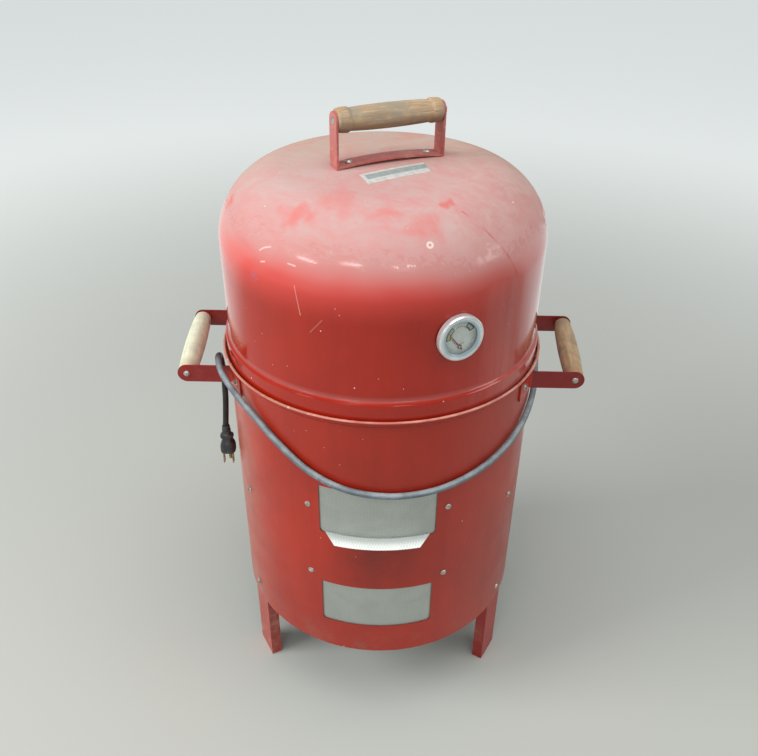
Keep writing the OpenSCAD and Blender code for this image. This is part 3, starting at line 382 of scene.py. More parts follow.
# Height, half width and half depth of the moulded plug: base, finger waist, eared collar and ribbed neck
PLUG_SECTIONS = np.array([[0.0, 8.6, 8.2], [0.5, 9.6, 9.2], [1.8, 10.3, 10.0], [8.0, 10.5, 10.2],
                          [13.0, 10.0, 9.7], [17.0, 8.6, 8.1], [20.0, 7.5, 6.9], [22.5, 7.3, 6.6],
                          [24.0, 8.4, 6.8], [25.0, 9.1, 7.0], [28.0, 9.1, 7.0], [29.0, 8.2, 6.6],
                          [30.0, 6.6, 6.2], [32.0, 6.4, 6.2], [33.0, 5.5, 5.5], [35.0, 6.2, 6.2],
                          [36.5, 5.3, 5.3], [38.5, 5.9, 5.9], [40.0, 5.1, 5.1], [42.0, 5.5, 5.5],
                          [43.7, 5.0, 5.0]])
PLUG_SIDES, PLUG_STEPS = 48, 4
# Squareness of the plug's rings, up to the collar's top and from the neck on
PLUG_SQUARE, NECK_ROUND = 3.0, 2.0
COLLAR_TOP, NECK_FROM = 28, 31


def rounded_stack(sections):
    """Rings |x/a|^n + |y/b|^n = 1 up the stack, with n falling to 2 at the neck."""
    z, a, b = smooth_curve(sections, PLUG_STEPS).T
    n = np.interp(z, [0, COLLAR_TOP, NECK_FROM], [PLUG_SQUARE, PLUG_SQUARE, NECK_ROUND])[:, None]
    t = np.linspace(0, 2 * np.pi, PLUG_SIDES, endpoint=False)[None, :]
    x = a[:, None] * np.sign(np.cos(t)) * np.abs(np.cos(t)) ** (2 / n)
    y = b[:, None] * np.sign(np.sin(t)) * np.abs(np.sin(t)) ** (2 / n)
    return np.stack([x, y, np.broadcast_to(z[:, None], x.shape)], axis=-1)


def plug_plastic():
    """Black moulded plastic, scuffed grey and dusty in patches."""
    f = Finish("plug_plastic")
    place = f.place()
    wear = f.noise(place, 130.0, 5.0, 0.65)
    f.set("Base Color", f.ramp(wear, (0.35, (34, 36, 38)), (0.6, (62, 64, 65)), (0.8, (112, 111, 107))))
    f.set("Roughness", f.step(wear, 0.3, 0.8, 0.35, 0.7))
    f.bump(f.noise(place, 1500.0, 2.0), 0.0002, 0.3)
    return f.material


def make_plug():
    """Moulded plug hanging from the cord's end, its blades left to the CAD."""
    points = (rounded_stack(PLUG_SECTIONS) + PLUG_AT - [0, 0, PLUG_L]) * MM
    rows, sides = points.shape[:2]
    faces = capped(grid_faces(rows, sides, close_columns=True), rows, sides)
    return make_piece("plug", points, faces, "drum", plug_plastic(), ["plug_body"])


cord, cord_path, cord_length = make_cord()
plug = make_plug()


# Strain relief under the terminal cover: a taper with ribs, then a flange and a neck through the cover
RELIEF_TOP, RELIEF_ROWS, RELIEF_SIDES = 157, 64, 40
TAPER_R, TAPER_RISE = 5.2, 1.8
RIBS, RIB_START, RIB_SLOPE, RIB_H = 6, 1.2, 3, 0.8
FLANGE_R, FLANGE_T = 8, 2
NECK_R, NECK_L = 6, 4
COVER_GAP = 0.2


def relief_rubber():
    """Black rubber, dusty in patches."""
    f = Finish("relief_rubber")
    dust = f.noise(f.place(), 220.0, 5.0)
    f.set("Base Color", f.ramp(dust, (0.35, (30, 30, 31)), (0.7, (74, 72, 70))))
    f.set("Roughness", f.step(dust, 0.3, 0.7, 0.5, 0.75))
    return f.material


def make_relief():
    """Section turned about the cord's fall; the ribs are a sine cut off flat."""
    flange_z, cover_z = RELIEF_TOP - FLANGE_T, RELIEF_TOP - COVER_GAP
    z = np.linspace(RELIEF_AT[2], flange_z, RELIEF_ROWS)
    share = (z - z[0]) / (z[-1] - z[0])
    ribs = np.clip(np.sin(share * RIBS * 2 * np.pi - RIB_START) * RIB_SLOPE, -0.5, 0.5) * RIB_H
    radius = np.concatenate([TAPER_R + TAPER_RISE * share + ribs, [FLANGE_R, FLANGE_R, NECK_R, NECK_R]])
    height = np.concatenate([z, [flange_z, cover_z, cover_z, RELIEF_TOP + NECK_L]])
    at = polar([(INLET_DEG, RELIEF_AT[1], 0)])[0]
    points = (turned(radius, height, RELIEF_SIDES) + at) * MM
    rows = len(radius)
    faces = capped(grid_faces(rows, RELIEF_SIDES, close_columns=True), rows, RELIEF_SIDES)
    make_piece("relief", points, faces, "drum", relief_rubber(), ["strain_relief"],
               smooth=False)


make_relief()


# Red enamel of the drum, its legs, its handle arms and the lid's strap.
# Heights, sides and radii in metres between which the drum's paint changes, its painted sheen, shadow and
# highlight included
HEM_Z = (0.20, 0.14)
RIM_SHEEN_Z = (0.5380, 0.5389)
CRUMBS_Z = (0.5372, 0.5384)
LEDGE_Z = (0.524, 0.529)
COLLAR_Z, COLLAR_R = (0.5285, 0.5330), (0.2025, 0.2060)
FLANGE_AWAY = (0.2078, 0.2066)
DRUM_RIGHT, DRUM_LEFT_SHEEN, RIM_LEFT = (0.05, 0.19), (-0.13, -0.203), (-0.05, -0.11)
# Painted shadow under the door's lip, between the windows, and a spatter below the rim: centre and size in
# millimetres
LIP_SHADOW_AT, LIP_SHADOW_SIZE = (0, -203, 307), 85
SPATTER_AT, SPATTER_SIZE = (-70, -190, 490), 60


def worn_red(f, place, light, dark, chip_share):
    """Red paint in a blotchy ramp from dark to light, with pale chips: its colour and a chip mask."""
    broad = f.noise(place, 6.0, 5.0, 0.6, 0.6)
    streaks = f.noise(f.stretch(place, (1, 1, 0.12)), 45.0, 4.0, 0.6)
    tone = f.calc("ADD", f.times(broad, 0.7), f.times(streaks, 0.3))
    red = f.ramp(tone, (0.35, dark), (0.65, light))
    chips = f.most(f.specks(place, 24, 2.6, chip_share), f.specks(place, 9, 0.9, chip_share))
    return red, chips


def drum_enamel():
    """Satin red outside, with a painted sheen down its left side and painted shadow under the door's lip;
    smoke-browned steel inside, a tan ledge in the collar and a pink rim of painted highlight and rubbed
    paint.
    """
    f = Finish("drum_enamel")
    place = f.place()
    x, y, z = f.split(place)
    red, chips = worn_red(f, place, (178, 38, 13), (152, 32, 11), 0.06)
    grime = f.noise(place, 30.0, 6.0, 0.7)
    film = f.noise(place, 24.0, 2.0, 0.4)
    foot = f.times(f.step(z, *HEM_Z), f.step(grime, 0.45, 0.7, 0.0, 0.45))
    shade = f.times(f.step(x, *DRUM_RIGHT), f.step(film, 0.35, 0.65, 0.08, 0.2))
    colour = f.mix(f.most(foot, shade), red, (146, 100, 86))
    # Pale sheen down the drum's left side, patchy with the grime noise: painted reflection
    painted_left_sheen = f.times(f.step(x, *DRUM_LEFT_SHEEN), f.step(grime, 0.3, 0.7, 0.12, 0.30))
    colour = f.mix(painted_left_sheen, colour, (206, 172, 152))
    # Dark patch between the windows, uneven with the grime noise: painted shadow under the door's lip
    stain = f.times(f.spot(place, LIP_SHADOW_AT, LIP_SHADOW_SIZE, 0.9), f.step(grime, 0.3, 0.65, 0.4, 0.65))
    colour = f.mix(stain, colour, (98, 24, 12))
    drops = f.times(f.specks(place, 7, 1.0, 0.5), f.spot(place, SPATTER_AT, SPATTER_SIZE, 0.8))
    colour = f.mix(f.most(chips, drops), colour, (222, 190, 176))
    # Pale pink along the rim's roll, patchy with the grime noise: painted highlight and rubbed paint
    rubbed = f.times(f.step(z, *RIM_SHEEN_Z), f.step(grime, 0.35, 0.65, 0.35, 0.9))
    colour = f.mix(rubbed, colour, (230, 168, 152))
    crumbs = f.mix(f.specks(place, 4, 1.6, 0.3), (172, 118, 94), (232, 216, 200))
    crusted = f.times(f.step(z, *CRUMBS_Z), f.step(x, *RIM_LEFT), f.step(grime, 0.35, 0.65, 0.1, 0.8))
    colour = f.mix(crusted, colour, crumbs)
    smoke = f.ramp(grime, (0.3, (34, 26, 22)), (0.7, (78, 58, 44)))
    ledge = f.ramp(grime, (0.35, (88, 60, 42)), (0.5, (170, 132, 98)), (0.7, (206, 176, 140)))
    ledge = f.mix(f.specks(place, 5, 1.6, 0.35), ledge, (236, 224, 210))
    wall = f.step(z, *COLLAR_Z, *COLLAR_R)
    inside = f.step(f.calc("SUBTRACT", wall, f.away(x, y)), 0.0, 0.0003)
    f.set("Base Color", f.mix(inside, colour, f.mix(f.step(z, *LEDGE_Z), smoke, ledge)))
    rough = f.step(film, 0.3, 0.7, 0.28, 0.38)
    f.set("Roughness", f.calc("ADD", rough, f.times(inside, 0.35)))
    f.bump(f.noise(place, 260.0, 3.0), 0.0002, 0.2)
    return f.material


def strap_enamel(name, light, dark, dusty, flange=0.0):
    """Red paint of legs, arms and strap, dusty in patches; lighter on flanges on the drum wall."""
    f = Finish(name)
    place = f.place()
    x, y, _ = f.split(place)
    red, chips = worn_red(f, place, light, dark, 0.12)
    red = f.mix(f.step(f.away(x, y), *FLANGE_AWAY, 0.0, flange), red, (178, 40, 16))
    rubbed = f.noise(place, 60.0, 6.0, 0.7, 0.5)
    colour = f.mix(f.step(rubbed, 0.42, 0.74, 0.0, dusty), red, (206, 152, 138))
    f.set("Base Color", f.mix(chips, colour, (214, 184, 170)))
    f.set("Roughness", f.step(rubbed, 0.35, 0.7, 0.32, 0.55))
    f.bump(f.noise(place, 300.0, 3.0), 0.0003, 0.3)
    return f.material


dress(drum_enamel(), "body_shell")
# Left leg: a lighter, dustier copy of the legs' enamel; its lighter red is painted light
dress(strap_enamel("left_leg_lit_enamel", (186, 66, 50), (164, 56, 44), 0.55), "leg_left")
dress(strap_enamel("leg_enamel", (172, 36, 29), (142, 29, 24), 0.3), "leg_right", "leg_rear")
dress(strap_enamel("arm_enamel", (148, 24, 20), (120, 18, 16), 0.08, 0.9), "handle_arm_left_front",
      "handle_arm_left_rear", "handle_arm_right_front", "handle_arm_right_rear")
dress(strap_enamel("strap_enamel", (194, 104, 98), (174, 86, 82), 0.8), "lid_handle_strap")


# Lid: its section turned about the drum's axis, sizes in millimetres
SKIRT_R, SKIRT_Z, LID_R = 204, 531.67, 200
STEP_Z, STEP_H = 557.67, 6
SHOULDER_R, SHOULDER_Z = 86, 683.67
CROWN_R, CROWN_Z = 1500, -725.73
SHEET, POLE_R = 1, 0.4
SKIRT_ROWS, STEP_ROWS, WALL_ROWS, ARC_ROWS, LID_SECTORS = 6, 12, 24, 40, 256
# UV across the section: the inner side below the middle and the outer side above it, with a gap between
UV_MIDDLE, UV_GAP = 0.5, 0.001


def lid_side(inset):
    """Lid section from the skirt's edge to the pole: skirt, eased step, wall, shoulder and crown arcs."""
    rise = np.linspace(0, 1, STEP_ROWS)
    skirt_z = np.linspace(SKIRT_Z, STEP_Z - 1, SKIRT_ROWS)
    step_r = LID_R + (SKIRT_R - LID_R) * (0.5 + 0.5 * np.cos(np.pi * rise))
    step_z = STEP_Z + STEP_H * rise
    wall_z = np.linspace(STEP_Z + STEP_H + 1, SHOULDER_Z - 1, WALL_ROWS)
    centre = LID_R - SHOULDER_R
    join = math.atan2(SHOULDER_Z - CROWN_Z, centre)
    bend = np.linspace(0, join, ARC_ROWS)
    crown = np.linspace(join, math.pi / 2, ARC_ROWS)[1:]
    r = np.concatenate([np.full(SKIRT_ROWS, SKIRT_R), step_r, np.full(WALL_ROWS, LID_R),
                        centre + SHOULDER_R * np.cos(bend), CROWN_R * np.cos(crown)])
    z = np.concatenate([skirt_z, step_z, wall_z, SHOULDER_Z + SHOULDER_R * np.sin(bend),
                        CROWN_Z + CROWN_R * np.sin(crown)])
    out_r, out_z = np.gradient(z), -np.gradient(r)
    size = np.hypot(out_r, out_z)
    return np.maximum(r - inset * out_r / size, POLE_R), np.maximum(z - inset * out_z / size, SKIRT_Z)


# Stretch of a pixel's ray on which the lid is looked for, in millimetres from the camera
RAY_FROM, RAY_TO, RAY_STEP = 500, 1400, 0.1


def on_lid(pixel):
    """Place on the lid, in millimetres, that a pixel of the photograph shows."""
    right, up, look = camera_axes()
    ray = look * FOCAL_PX + right * (pixel[0] - IMAGE_W / 2) - up * (pixel[1] - IMAGE_H / 2)
    way = np.arange(RAY_FROM, RAY_TO, RAY_STEP)[:, None]
    points = CAMERA_AT / MM + way * ray / np.linalg.norm(ray)
    lid_r, lid_z = lid_side(0)
    inside = np.hypot(points[:, 0], points[:, 1]) < np.interp(points[:, 2], lid_z, lid_r)
    return points[np.argmax(inside)]


# Heights in metres between which the lid's red brightens with painted light, a pale veil of painted
# reflection and thin dust sets in, its dust sets in and its gloss goes
SHOULDER_LIGHT_Z, SHEEN_VEIL_Z, DUST_Z, DULL_Z = (0.652, 0.708), (0.686, 0.728), (0.706, 0.762), (0.722, 0.748)
LEDGE_RISE_Z, LEDGE_FALL_Z = (0.5602, 0.5622), (0.5690, 0.5632)
LID_RIGHT, LID_REAR, WALL_RIGHT = (-0.02, 0.16), (-0.10, 0.08), (0.05, 0.195)
# Marks on the lid by their pixels in the photograph, with widths and sizes in millimetres:
# wiped patches with size and share, a rub line, scrapes with share, chips
WIPED = [((297, 214), 24, 0.45), ((335, 198), 30, 0.2), ((442, 201.7), 15, 0.55),
         ((388.6, 218.4), 30, 0.25), ((426.5, 227.3), 25, 0.3), ((230, 200.5), 18, 0.4),
         ((402, 188), 16, 0.2)]
STREAK_W, SCRAPE_W, LONG_CHIP_W, SMALL_CHIP = 1.9, 0.9, 1.3, 0.8
STREAK = [(462.2, 211.7), (489, 234), (506.9, 254), (517, 274)]
SCRAPES = [((294.3, 286), (300.3, 315), 0.3), ((310, 332.3), (322, 320.4), 0.15)]
LONG_CHIPS = [((259.8, 250), (264, 247.5)), ((264, 247.5), (270.5, 246.8)),
              ((260.8, 261.5), (264.5, 261.5)), ((288, 263.5), (295, 266))]
SMALL_CHIPS = [(330.6, 252.8), (335, 309), (339.3, 315.6), (261.9, 333.4),
               (241.3, 345.3), (287.2, 366), (272.7, 364.8), (378.4, 379)]
RING_CHIP, RING_OUTER, RING_INNER = (430, 245), 4.4, 1.9
BLUE_AT, BLUE_SIZE = (253.5, 276), 10


def lid_enamel():
    """Red enamel, glossy on the wall, under dust that lies on the crown and thins out down the shoulder into
    a pale veil of painted reflection and thin dust; painted light brightens the shoulder's red.
    """
    f = Finish("lid_enamel")
    place = f.place()
    x, y, z = f.split(place)
    red, chips = worn_red(f, place, (174, 34, 12), (152, 28, 10), 0.04)
    swirl = f.noise(place, 15.0, 7.0, 0.66, 1.6)
    brush = f.noise(f.stretch(f.turn(place, 0.5), (0.4, 1, 1)), 150.0, 5.0, 0.7, 0.6)
    fine = f.noise(place, 260.0, 4.0, 0.7)
    cloud = f.noise(place, 9.0, 2.0, 0.5)
    right, rear = f.step(x, *LID_RIGHT), f.step(y, *LID_REAR)
    # Red brightened on the shoulder, less so on the right: painted light
    shoulder_painted_light = f.times(f.step(z, *SHOULDER_LIGHT_Z), f.step(right, 0.3, 1.0, 1.0, 0.45))
    red = f.mix(shoulder_painted_light, red, (222, 72, 64))

    # Dust by height, with an edge that wanders a little and sits lower on the right; below it a pale veil of
    # painted reflection and thin dust
    edge = f.calc("ADD", z, f.calc("ADD", f.step(cloud, 0.35, 0.65, -0.004, 0.004), f.times(right, 0.012)))
    thick = f.calc("ADD", f.step(swirl, 0.34, 0.64, 0.31, 0.73), f.step(brush, 0.3, 0.7, -0.15, 0.15))
    thick = f.calc("ADD", thick, f.times(rear, 0.14))
    crown = f.times(f.step(edge, *DUST_Z), thick)
    # Pale veil down the shoulder, in the dust's colour: painted reflection and thin dust
    layers = f.calc("ADD", crown, f.less(f.step(edge, *SHEEN_VEIL_Z, 0.0, 0.54), crown))
    runs = f.noise(f.stretch(place, (1, 1, 0.08)), 34.0, 4.0, 0.6)
    wall = f.times(f.step(x, *WALL_RIGHT), f.step(runs, 0.3, 0.7, 0.06, 0.24))
    # Pale line along the lid's step: painted highlight and dust on the ledge
    ledge = f.times(f.step(z, *LEDGE_RISE_Z), f.step(z, *LEDGE_FALL_Z), 0.14)
    torn = f.warp(place, 45.0, 50)
    wiped = f.most(*(f.times(f.spot(torn, on_lid(pixel), size, 0.8), share) for pixel, size, share in WIPED))
    rubbed = [on_lid(pixel) for pixel in STREAK]
    streak = f.most(*(f.line(place, a, b, STREAK_W) for a, b in zip(rubbed, rubbed[1:])))
    dust = f.less(f.most(layers, wall, ledge), f.most(wiped, f.times(streak, 0.5)))
    film = f.mix(right, (194, 172, 168), (208, 172, 167))
    film = f.mix(f.times(rear, 0.7), film, (190, 172, 154))
    colour = f.mix(dust, red, film)

    # Scrapes, chips and a blue smear
    blue = f.times(f.spot(place, on_lid(BLUE_AT), BLUE_SIZE, 0.9), f.step(fine, 0.45, 0.6, 0.0, 0.5))
    colour = f.mix(blue, colour, (120, 110, 150))
    chip = on_lid(RING_CHIP)
    ring = f.less(f.spot(place, chip, RING_OUTER, 0.25), f.spot(place, chip, RING_INNER, 0.3))
    scrapes = f.most(*(f.times(f.line(place, on_lid(a), on_lid(b), SCRAPE_W), share)
                       for a, b, share in SCRAPES))
    long_chips = f.times(f.most(*(f.line(place, on_lid(a), on_lid(b), LONG_CHIP_W)
                                  for a, b in LONG_CHIPS)), 0.6)
    small_chips = f.times(f.most(*(f.spot(place, on_lid(pixel), SMALL_CHIP) for pixel in SMALL_CHIPS)), 0.45)
    pale = f.most(chips, ring, scrapes, long_chips, small_chips)
    colour = f.mix(pale, colour, (236, 212, 204))

    inside = f.step(f.uv()[0], UV_MIDDLE + 2 * UV_GAP, UV_MIDDLE - 2 * UV_GAP)
    smoke = f.ramp(swirl, (0.3, (30, 22, 18)), (0.7, (74, 54, 40)))
    f.set("Base Color", f.mix(inside, colour, smoke))
    dull = f.calc("ADD", edge, f.step(brush, 0.3, 0.7, -0.014, 0.014))
    f.set("Roughness", f.most(f.step(dull, *DULL_Z, 0.13, 0.7), f.times(inside, 0.7)))
    f.bump(f.calc("SUBTRACT", f.times(fine, dust, 0.5), pale), 0.0003, 0.3)
    return f.material


def make_lid():
    """Closed lid shell: the inner side from the pole down and the outer side back up, turned about Z."""
    inner_r, inner_z = lid_side(SHEET)
    outer_r, outer_z = lid_side(0)
    radius = np.concatenate([inner_r[::-1], outer_r])
    height = np.concatenate([inner_z[::-1], outer_z])
    points = turned(radius, height, LID_SECTORS) * MM
    rows = len(radius)
    u = np.concatenate([np.linspace(0, UV_MIDDLE - UV_GAP, len(inner_r)),
                        np.linspace(UV_MIDDLE + UV_GAP, 1, len(outer_r))])
    u = np.broadcast_to(u[:, None], points.shape[:2])
    v = np.broadcast_to(np.linspace(0, 1, LID_SECTORS)[None, :], points.shape[:2])
    faces = capped(grid_faces(rows, LID_SECTORS, close_columns=True), rows, LID_SECTORS)
    make_piece("lid", points, faces, "lid", lid_enamel(), ["lid_shell"],
               np.stack([u, v], axis=-1))


make_lid()


# Foil strip on the crown, by its corners' pixels in the photograph: rear edge, front edge
STRIP = [[(359.1, 174.9), (423.6, 162.6)], [(368.5, 184.5), (431, 171.5)]]
STRIP_T, STRIP_GAP = 0.25, 0.05
STRIP_ROWS, STRIP_COLUMNS = 9, 25


def strip_foil():
    """Pale foil with a plain greyish band along it."""
    f = Finish("strip_foil", metallic=0.35)
    along, across, _ = f.uv()
    wear = f.noise(f.place(), 160.0, 6.0, 0.7)
    band = f.times(f.step(across, 0.14, 0.18), f.step(across, 0.62, 0.58), f.step(along, 0.05, 0.06))
    base = f.ramp(wear, (0.3, (206, 204, 198)), (0.6, (232, 232, 227)))
    worn = f.times(band, f.step(wear, 0.3, 0.6, 0.55, 0.95))
    f.set("Base Color", f.mix(worn, base, (158, 172, 172)))
    f.set("Roughness", f.step(wear, 0.3, 0.7, 0.4, 0.6))
    return f.material


def make_strip():
    """Sheet between four corners laid on the crown's sphere, its underside just above the paint."""
    s, t = np.meshgrid(np.linspace(0, 1, STRIP_ROWS), np.linspace(0, 1, STRIP_COLUMNS), indexing="ij")
    s, t = s[..., None], t[..., None]
    corners = np.array([[on_lid(pixel)[:2] for pixel in side] for side in STRIP])
    back, front = ((1 - t) * side[0] + t * side[1] for side in corners)
    flat = (1 - s) * back + s * front
    sphere = (CROWN_R + STRIP_GAP) ** 2
    height = CROWN_Z + np.sqrt(sphere - (flat ** 2).sum(axis=-1, keepdims=True))
    low = np.concatenate([flat, height], axis=-1)
    layers = np.stack([low, low + [0, 0, STRIP_T]])
    count = STRIP_ROWS * STRIP_COLUMNS
    under = grid_faces(STRIP_ROWS, STRIP_COLUMNS)
    over = under[:, ::-1] + count
    index = np.arange(count).reshape(STRIP_ROWS, STRIP_COLUMNS)
    edge = np.concatenate([index[0, :-1], index[:-1, -1], index[-1, :0:-1], index[:0:-1, 0]])
    after = np.roll(edge, -1)
    rim = np.stack([edge, edge + count, after + count, after], axis=1)
    uv = np.broadcast_to(np.concatenate([t, s], axis=-1), (2, STRIP_ROWS, STRIP_COLUMNS, 2))
    make_piece("foil_strip", layers * MM, np.concatenate([under, over, rim]), "lid", strip_foil(),
               uv=uv, smooth=False)


make_strip()


# Turned wooden grips: the side grips lean outwards to the rear
GRIP_L, GRIP_X, GRIP_Z = 144.9, 252.5, 515
GRIP_LEAN = math.atan(10 / 151)
GRIP_MIDDLE_D, GRIP_END_D = 27, 22
LID_GRIP_L, LID_GRIP_AT, LID_TURN = 131.4, (5.2, -10.3, 825.2), math.radians(26)
LID_GRIP_MIDDLE_D, LID_GRIP_END_D, COLLAR_D, COLLAR_L = 28, 22.5, 26, 15
GRIP_BORE, GRIP_EASE = 3.4, 2
GRIP_ROWS, GRIP_SECTORS = 90, 56
# Heights in metres about the axis between which a grip darkens to its underside with painted shade
SHADED_UNDER_Z = (0.003, -0.011)
# Pale and brown of the grain, the dirt's colour and its share; the left grip's paler tones are painted light
LIT_LEFT_WOOD = ((242, 244, 218), (216, 215, 186), (190, 192, 172), 0.45)
RIGHT_WOOD = ((208, 178, 140), (166, 136, 100), (136, 127, 110), 0.65)
TOP_WOOD = ((206, 180, 144), (158, 128, 96), (148, 143, 129), 0.7)


def grip_section(length, middle, end, collar, collar_l):
    """Half section: belly end + (middle - end) sin(pi t)^0.7, a rounded collar and eased ends."""
    t = (1 - np.cos(np.linspace(0, np.pi, GRIP_ROWS))) / 2
    z = length * t
    edge = np.minimum(z, length - z)
    r = (end + (middle - end) * np.sin(np.pi * t) ** 0.7) / 2
    across = 2 * edge / max(collar_l, 1) - 1
    lift = np.sqrt(np.clip(1 - across ** 6, 0, 1)) * (collar - end) / 2
    r = r + np.where(edge < collar_l, lift, 0)
    short = np.clip(GRIP_EASE ** 2 - (GRIP_EASE - edge) ** 2, 0, GRIP_EASE ** 2)
    r = r - np.where(edge < GRIP_EASE, GRIP_EASE - np.sqrt(short), 0)
    return np.concatenate([[GRIP_BORE], r, [GRIP_BORE]]), np.concatenate([[0], z, [length]])


def wood(name, centre, angle, half, pale, brown, dirt, share, tips):
    """Bare turned wood: grain along the grip, grey dirt in patches, a share of orange at its tips and
    painted shade on its underside.
    """
    f = Finish(name)
    place = f.place()
    along = f.turn(f.vector("SUBTRACT", place, tuple(np.array(centre) * MM))[0], -angle)
    length, _, height = f.split(along)
    grain = f.noise(f.stretch(along, (0.045, 1, 1)), 420.0, 5.0, 0.6, 0.3)
    figure = f.noise(f.stretch(along, (0.12, 1, 1)), 70.0, 4.0, 0.55, 0.8)
    patch = f.noise(place, 38.0, 6.0, 0.7, 0.6)
    crack = f.noise(f.stretch(along, (0.03, 1, 1)), 230.0, 3.0, 0.5, 0.4)
    tone = f.calc("ADD", f.times(grain, 0.55), f.times(figure, 0.45))
    colour = f.ramp(tone, (0.36, brown), (0.62, pale))
    ends = f.step(f.calc("ABSOLUTE", length), (half - 20) * MM, (half - 4) * MM, 0.0, tips)
    colour = f.mix(ends, colour, (190, 132, 82))
    colour = f.mix(f.times(f.step(patch, 0.40, 0.64), share), colour, dirt)
    # Darker underside: painted shade
    colour = f.mix(f.step(height, *SHADED_UNDER_Z, 0.0, 0.6), colour, (98, 70, 46))
    cracks = f.step(crack, 0.66, 0.72, 0.0, 0.6)
    f.set("Base Color", f.mix(cracks, colour, (72, 58, 46)))
    f.set("Roughness", f.step(patch, 0.3, 0.7, 0.55, 0.82))
    f.bump(f.calc("SUBTRACT", f.times(grain, 0.5), cracks), 0.0006, 0.5)
    return f.material


def make_grip(name, section, centre, angle, body, material, node):
    """Grip turned about a level axis at an angle from X through its centre, with the bolt's bore."""
    radius, height = section
    along = np.array([math.cos(angle), math.sin(angle), 0])
    side = np.cross([0, 0, 1], along)
    origin = np.array(centre) - along * height[-1] / 2
    ring = turned(radius, height, GRIP_SECTORS)
    points = placed(ring, origin, side, np.cross(along, side), along) * MM
    faces = grid_faces(len(radius), GRIP_SECTORS, close_rows=True, close_columns=True)
    make_piece(name, points, faces, body, material, [node])


side_section = grip_section(GRIP_L, GRIP_MIDDLE_D, GRIP_END_D, GRIP_END_D, 0)
for side, sign, tones in (("left", -1, LIT_LEFT_WOOD), ("right", 1, RIGHT_WOOD)):
    middle, angle = (sign * GRIP_X, 0, GRIP_Z), math.pi / 2 - sign * GRIP_LEAN
    look = wood(f"{side}_grip_wood", middle, angle, GRIP_L / 2, *tones, 0.35)
    make_grip(f"{side}_grip", side_section, middle, angle, "drum", look, f"grip_{side}")
top_section = grip_section(LID_GRIP_L, LID_GRIP_MIDDLE_D, LID_GRIP_END_D, COLLAR_D, COLLAR_L)
top_look = wood("top_grip_wood", LID_GRIP_AT, LID_TURN, LID_GRIP_L / 2, *TOP_WOOD, 0.2)
make_grip("top_grip", top_section, LID_GRIP_AT, LID_TURN, "lid", top_look, "lid_grip")


# Heat gauge: printed zones and ticks on the dial, in the gauge's own axes
GAUGE_DEG, GAUGE_Z, DIAL_OUT = 25, 637.67, 2.9
INK_T, BAR_STEPS = 0.06, 14
# Lift of each print over the dial, so that one lies on another
INK_LIFT, DASH_LIFT, ZONE_LIFT = 0.02, 0.05, 0.1


def arc_bars(bars):
    """Flat bars bent round the dial's centre: two radii, first and last angle right of up, and lift."""
    inner, outer, first, last, lift = np.asarray(bars, dtype=float).T[..., None]
    a = np.radians(first + (last - first) * np.linspace(0, 1, BAR_STEPS))
    r = np.stack([inner, outer, outer, inner], axis=-1) + 0 * a[..., None]
    z = DIAL_OUT + lift[..., None] + np.array([0, 0, INK_T, INK_T]) + 0 * a[..., None]
    points = np.stack([r * np.sin(a)[..., None], r * np.cos(a)[..., None], z], axis=-1)
    one = capped(grid_faces(BAR_STEPS, 4, close_columns=True), BAR_STEPS, 4)
    faces = [[i + k * BAR_STEPS * 4 for i in face] for k in range(len(bars)) for face in one]
    return points.reshape(-1, 3), faces


def bars_at(angles, inner, outer, half, lift):
    """Equal bars at angles, each reaching half its width to either side."""
    return [[inner, outer, a - half, a + half, lift] for a in angles]


def on_dial(points):
    """Points from the gauge's axes, right, up and out of the lid wall, to the object's."""
    a = math.radians(GAUGE_DEG)
    right, out = np.array([math.cos(a), math.sin(a), 0]), np.array([math.sin(a), -math.cos(a), 0])
    return placed(points, out * LID_R + [0, 0, GAUGE_Z], right, (0, 0, 1), out) * MM


def ink(name, light, dark):
    """Printed or painted colour, a little uneven."""
    f = Finish(name, roughness=0.5)
    f.set("Base Color", f.ramp(f.noise(f.place(), 900.0, 4.0), (0.3, dark), (0.7, light)))
    return f.material


def make_print(name, bars, light, dark):
    """Bars printed on the dial in one ink."""
    points, faces = arc_bars(bars)
    make_piece(name, on_dial(points), faces, "lid", ink(name, light, dark), smooth=False)


zone_edges = [[11.2, 16.9, -99, -36, INK_LIFT], [12.0, 18.9, 28, 66, INK_LIFT]]
ticks = bars_at(range(-22, 23, 11), 12.2, 13.4, 2.4, INK_LIFT)
low_ticks = bars_at((*range(-150, -109, 10), *range(80, 129, 12)), 16.2, 17.4, 0.8, INK_LIFT)
dashes = bars_at(range(150, 256, 15), 8.4, 9.6, 4, DASH_LIFT)
make_print("dial_ink", [*zone_edges, *ticks, *low_ticks], (52, 62, 54), (28, 36, 32))
make_print("low_zone", [[12.6, 15.5, -95, -68, ZONE_LIFT]], (166, 168, 70), (136, 140, 54))
make_print("low_zone_end", [[12.6, 15.5, -65, -40, ZONE_LIFT]], (176, 180, 150), (140, 150, 126))
make_print("high_zone", [[13.9, 17.0, 34, 60, ZONE_LIFT]], (160, 172, 160), (136, 150, 140))
make_print("dial_dashes", dashes, (138, 112, 106), (104, 84, 80))


# Metals, paints and glass of the remaining CAD pieces
def metal(name, light, dark, scale, rough, metallic, bump):
    """Metal with tarnish in patches and fine tooling marks."""
    f = Finish(name, metallic=metallic)
    place = f.place()
    tarnish = f.noise(place, scale, 6.0, 0.65, 0.4)
    f.set("Base Color", f.ramp(tarnish, (0.32, dark), (0.62, light)))
    f.set("Roughness", f.step(tarnish, 0.3, 0.7, rough + 0.16, rough))
    f.bump(f.noise(place, scale * 12, 3.0), bump, 0.4)
    return f.material


# Door: the sheet's radius, the diamonds' pitch and slimness, radii between which panel turns into lip, and
# radii over which the lip brightens outwards with a painted highlight
DOOR_R, DIAMOND_PITCH, DIAMOND_SLIM = 0.2016, 0.0028, 0.8
PANEL_R, LIP_HIGHLIGHT_R = (0.2040, 0.2025), (0.2045, 0.2165)


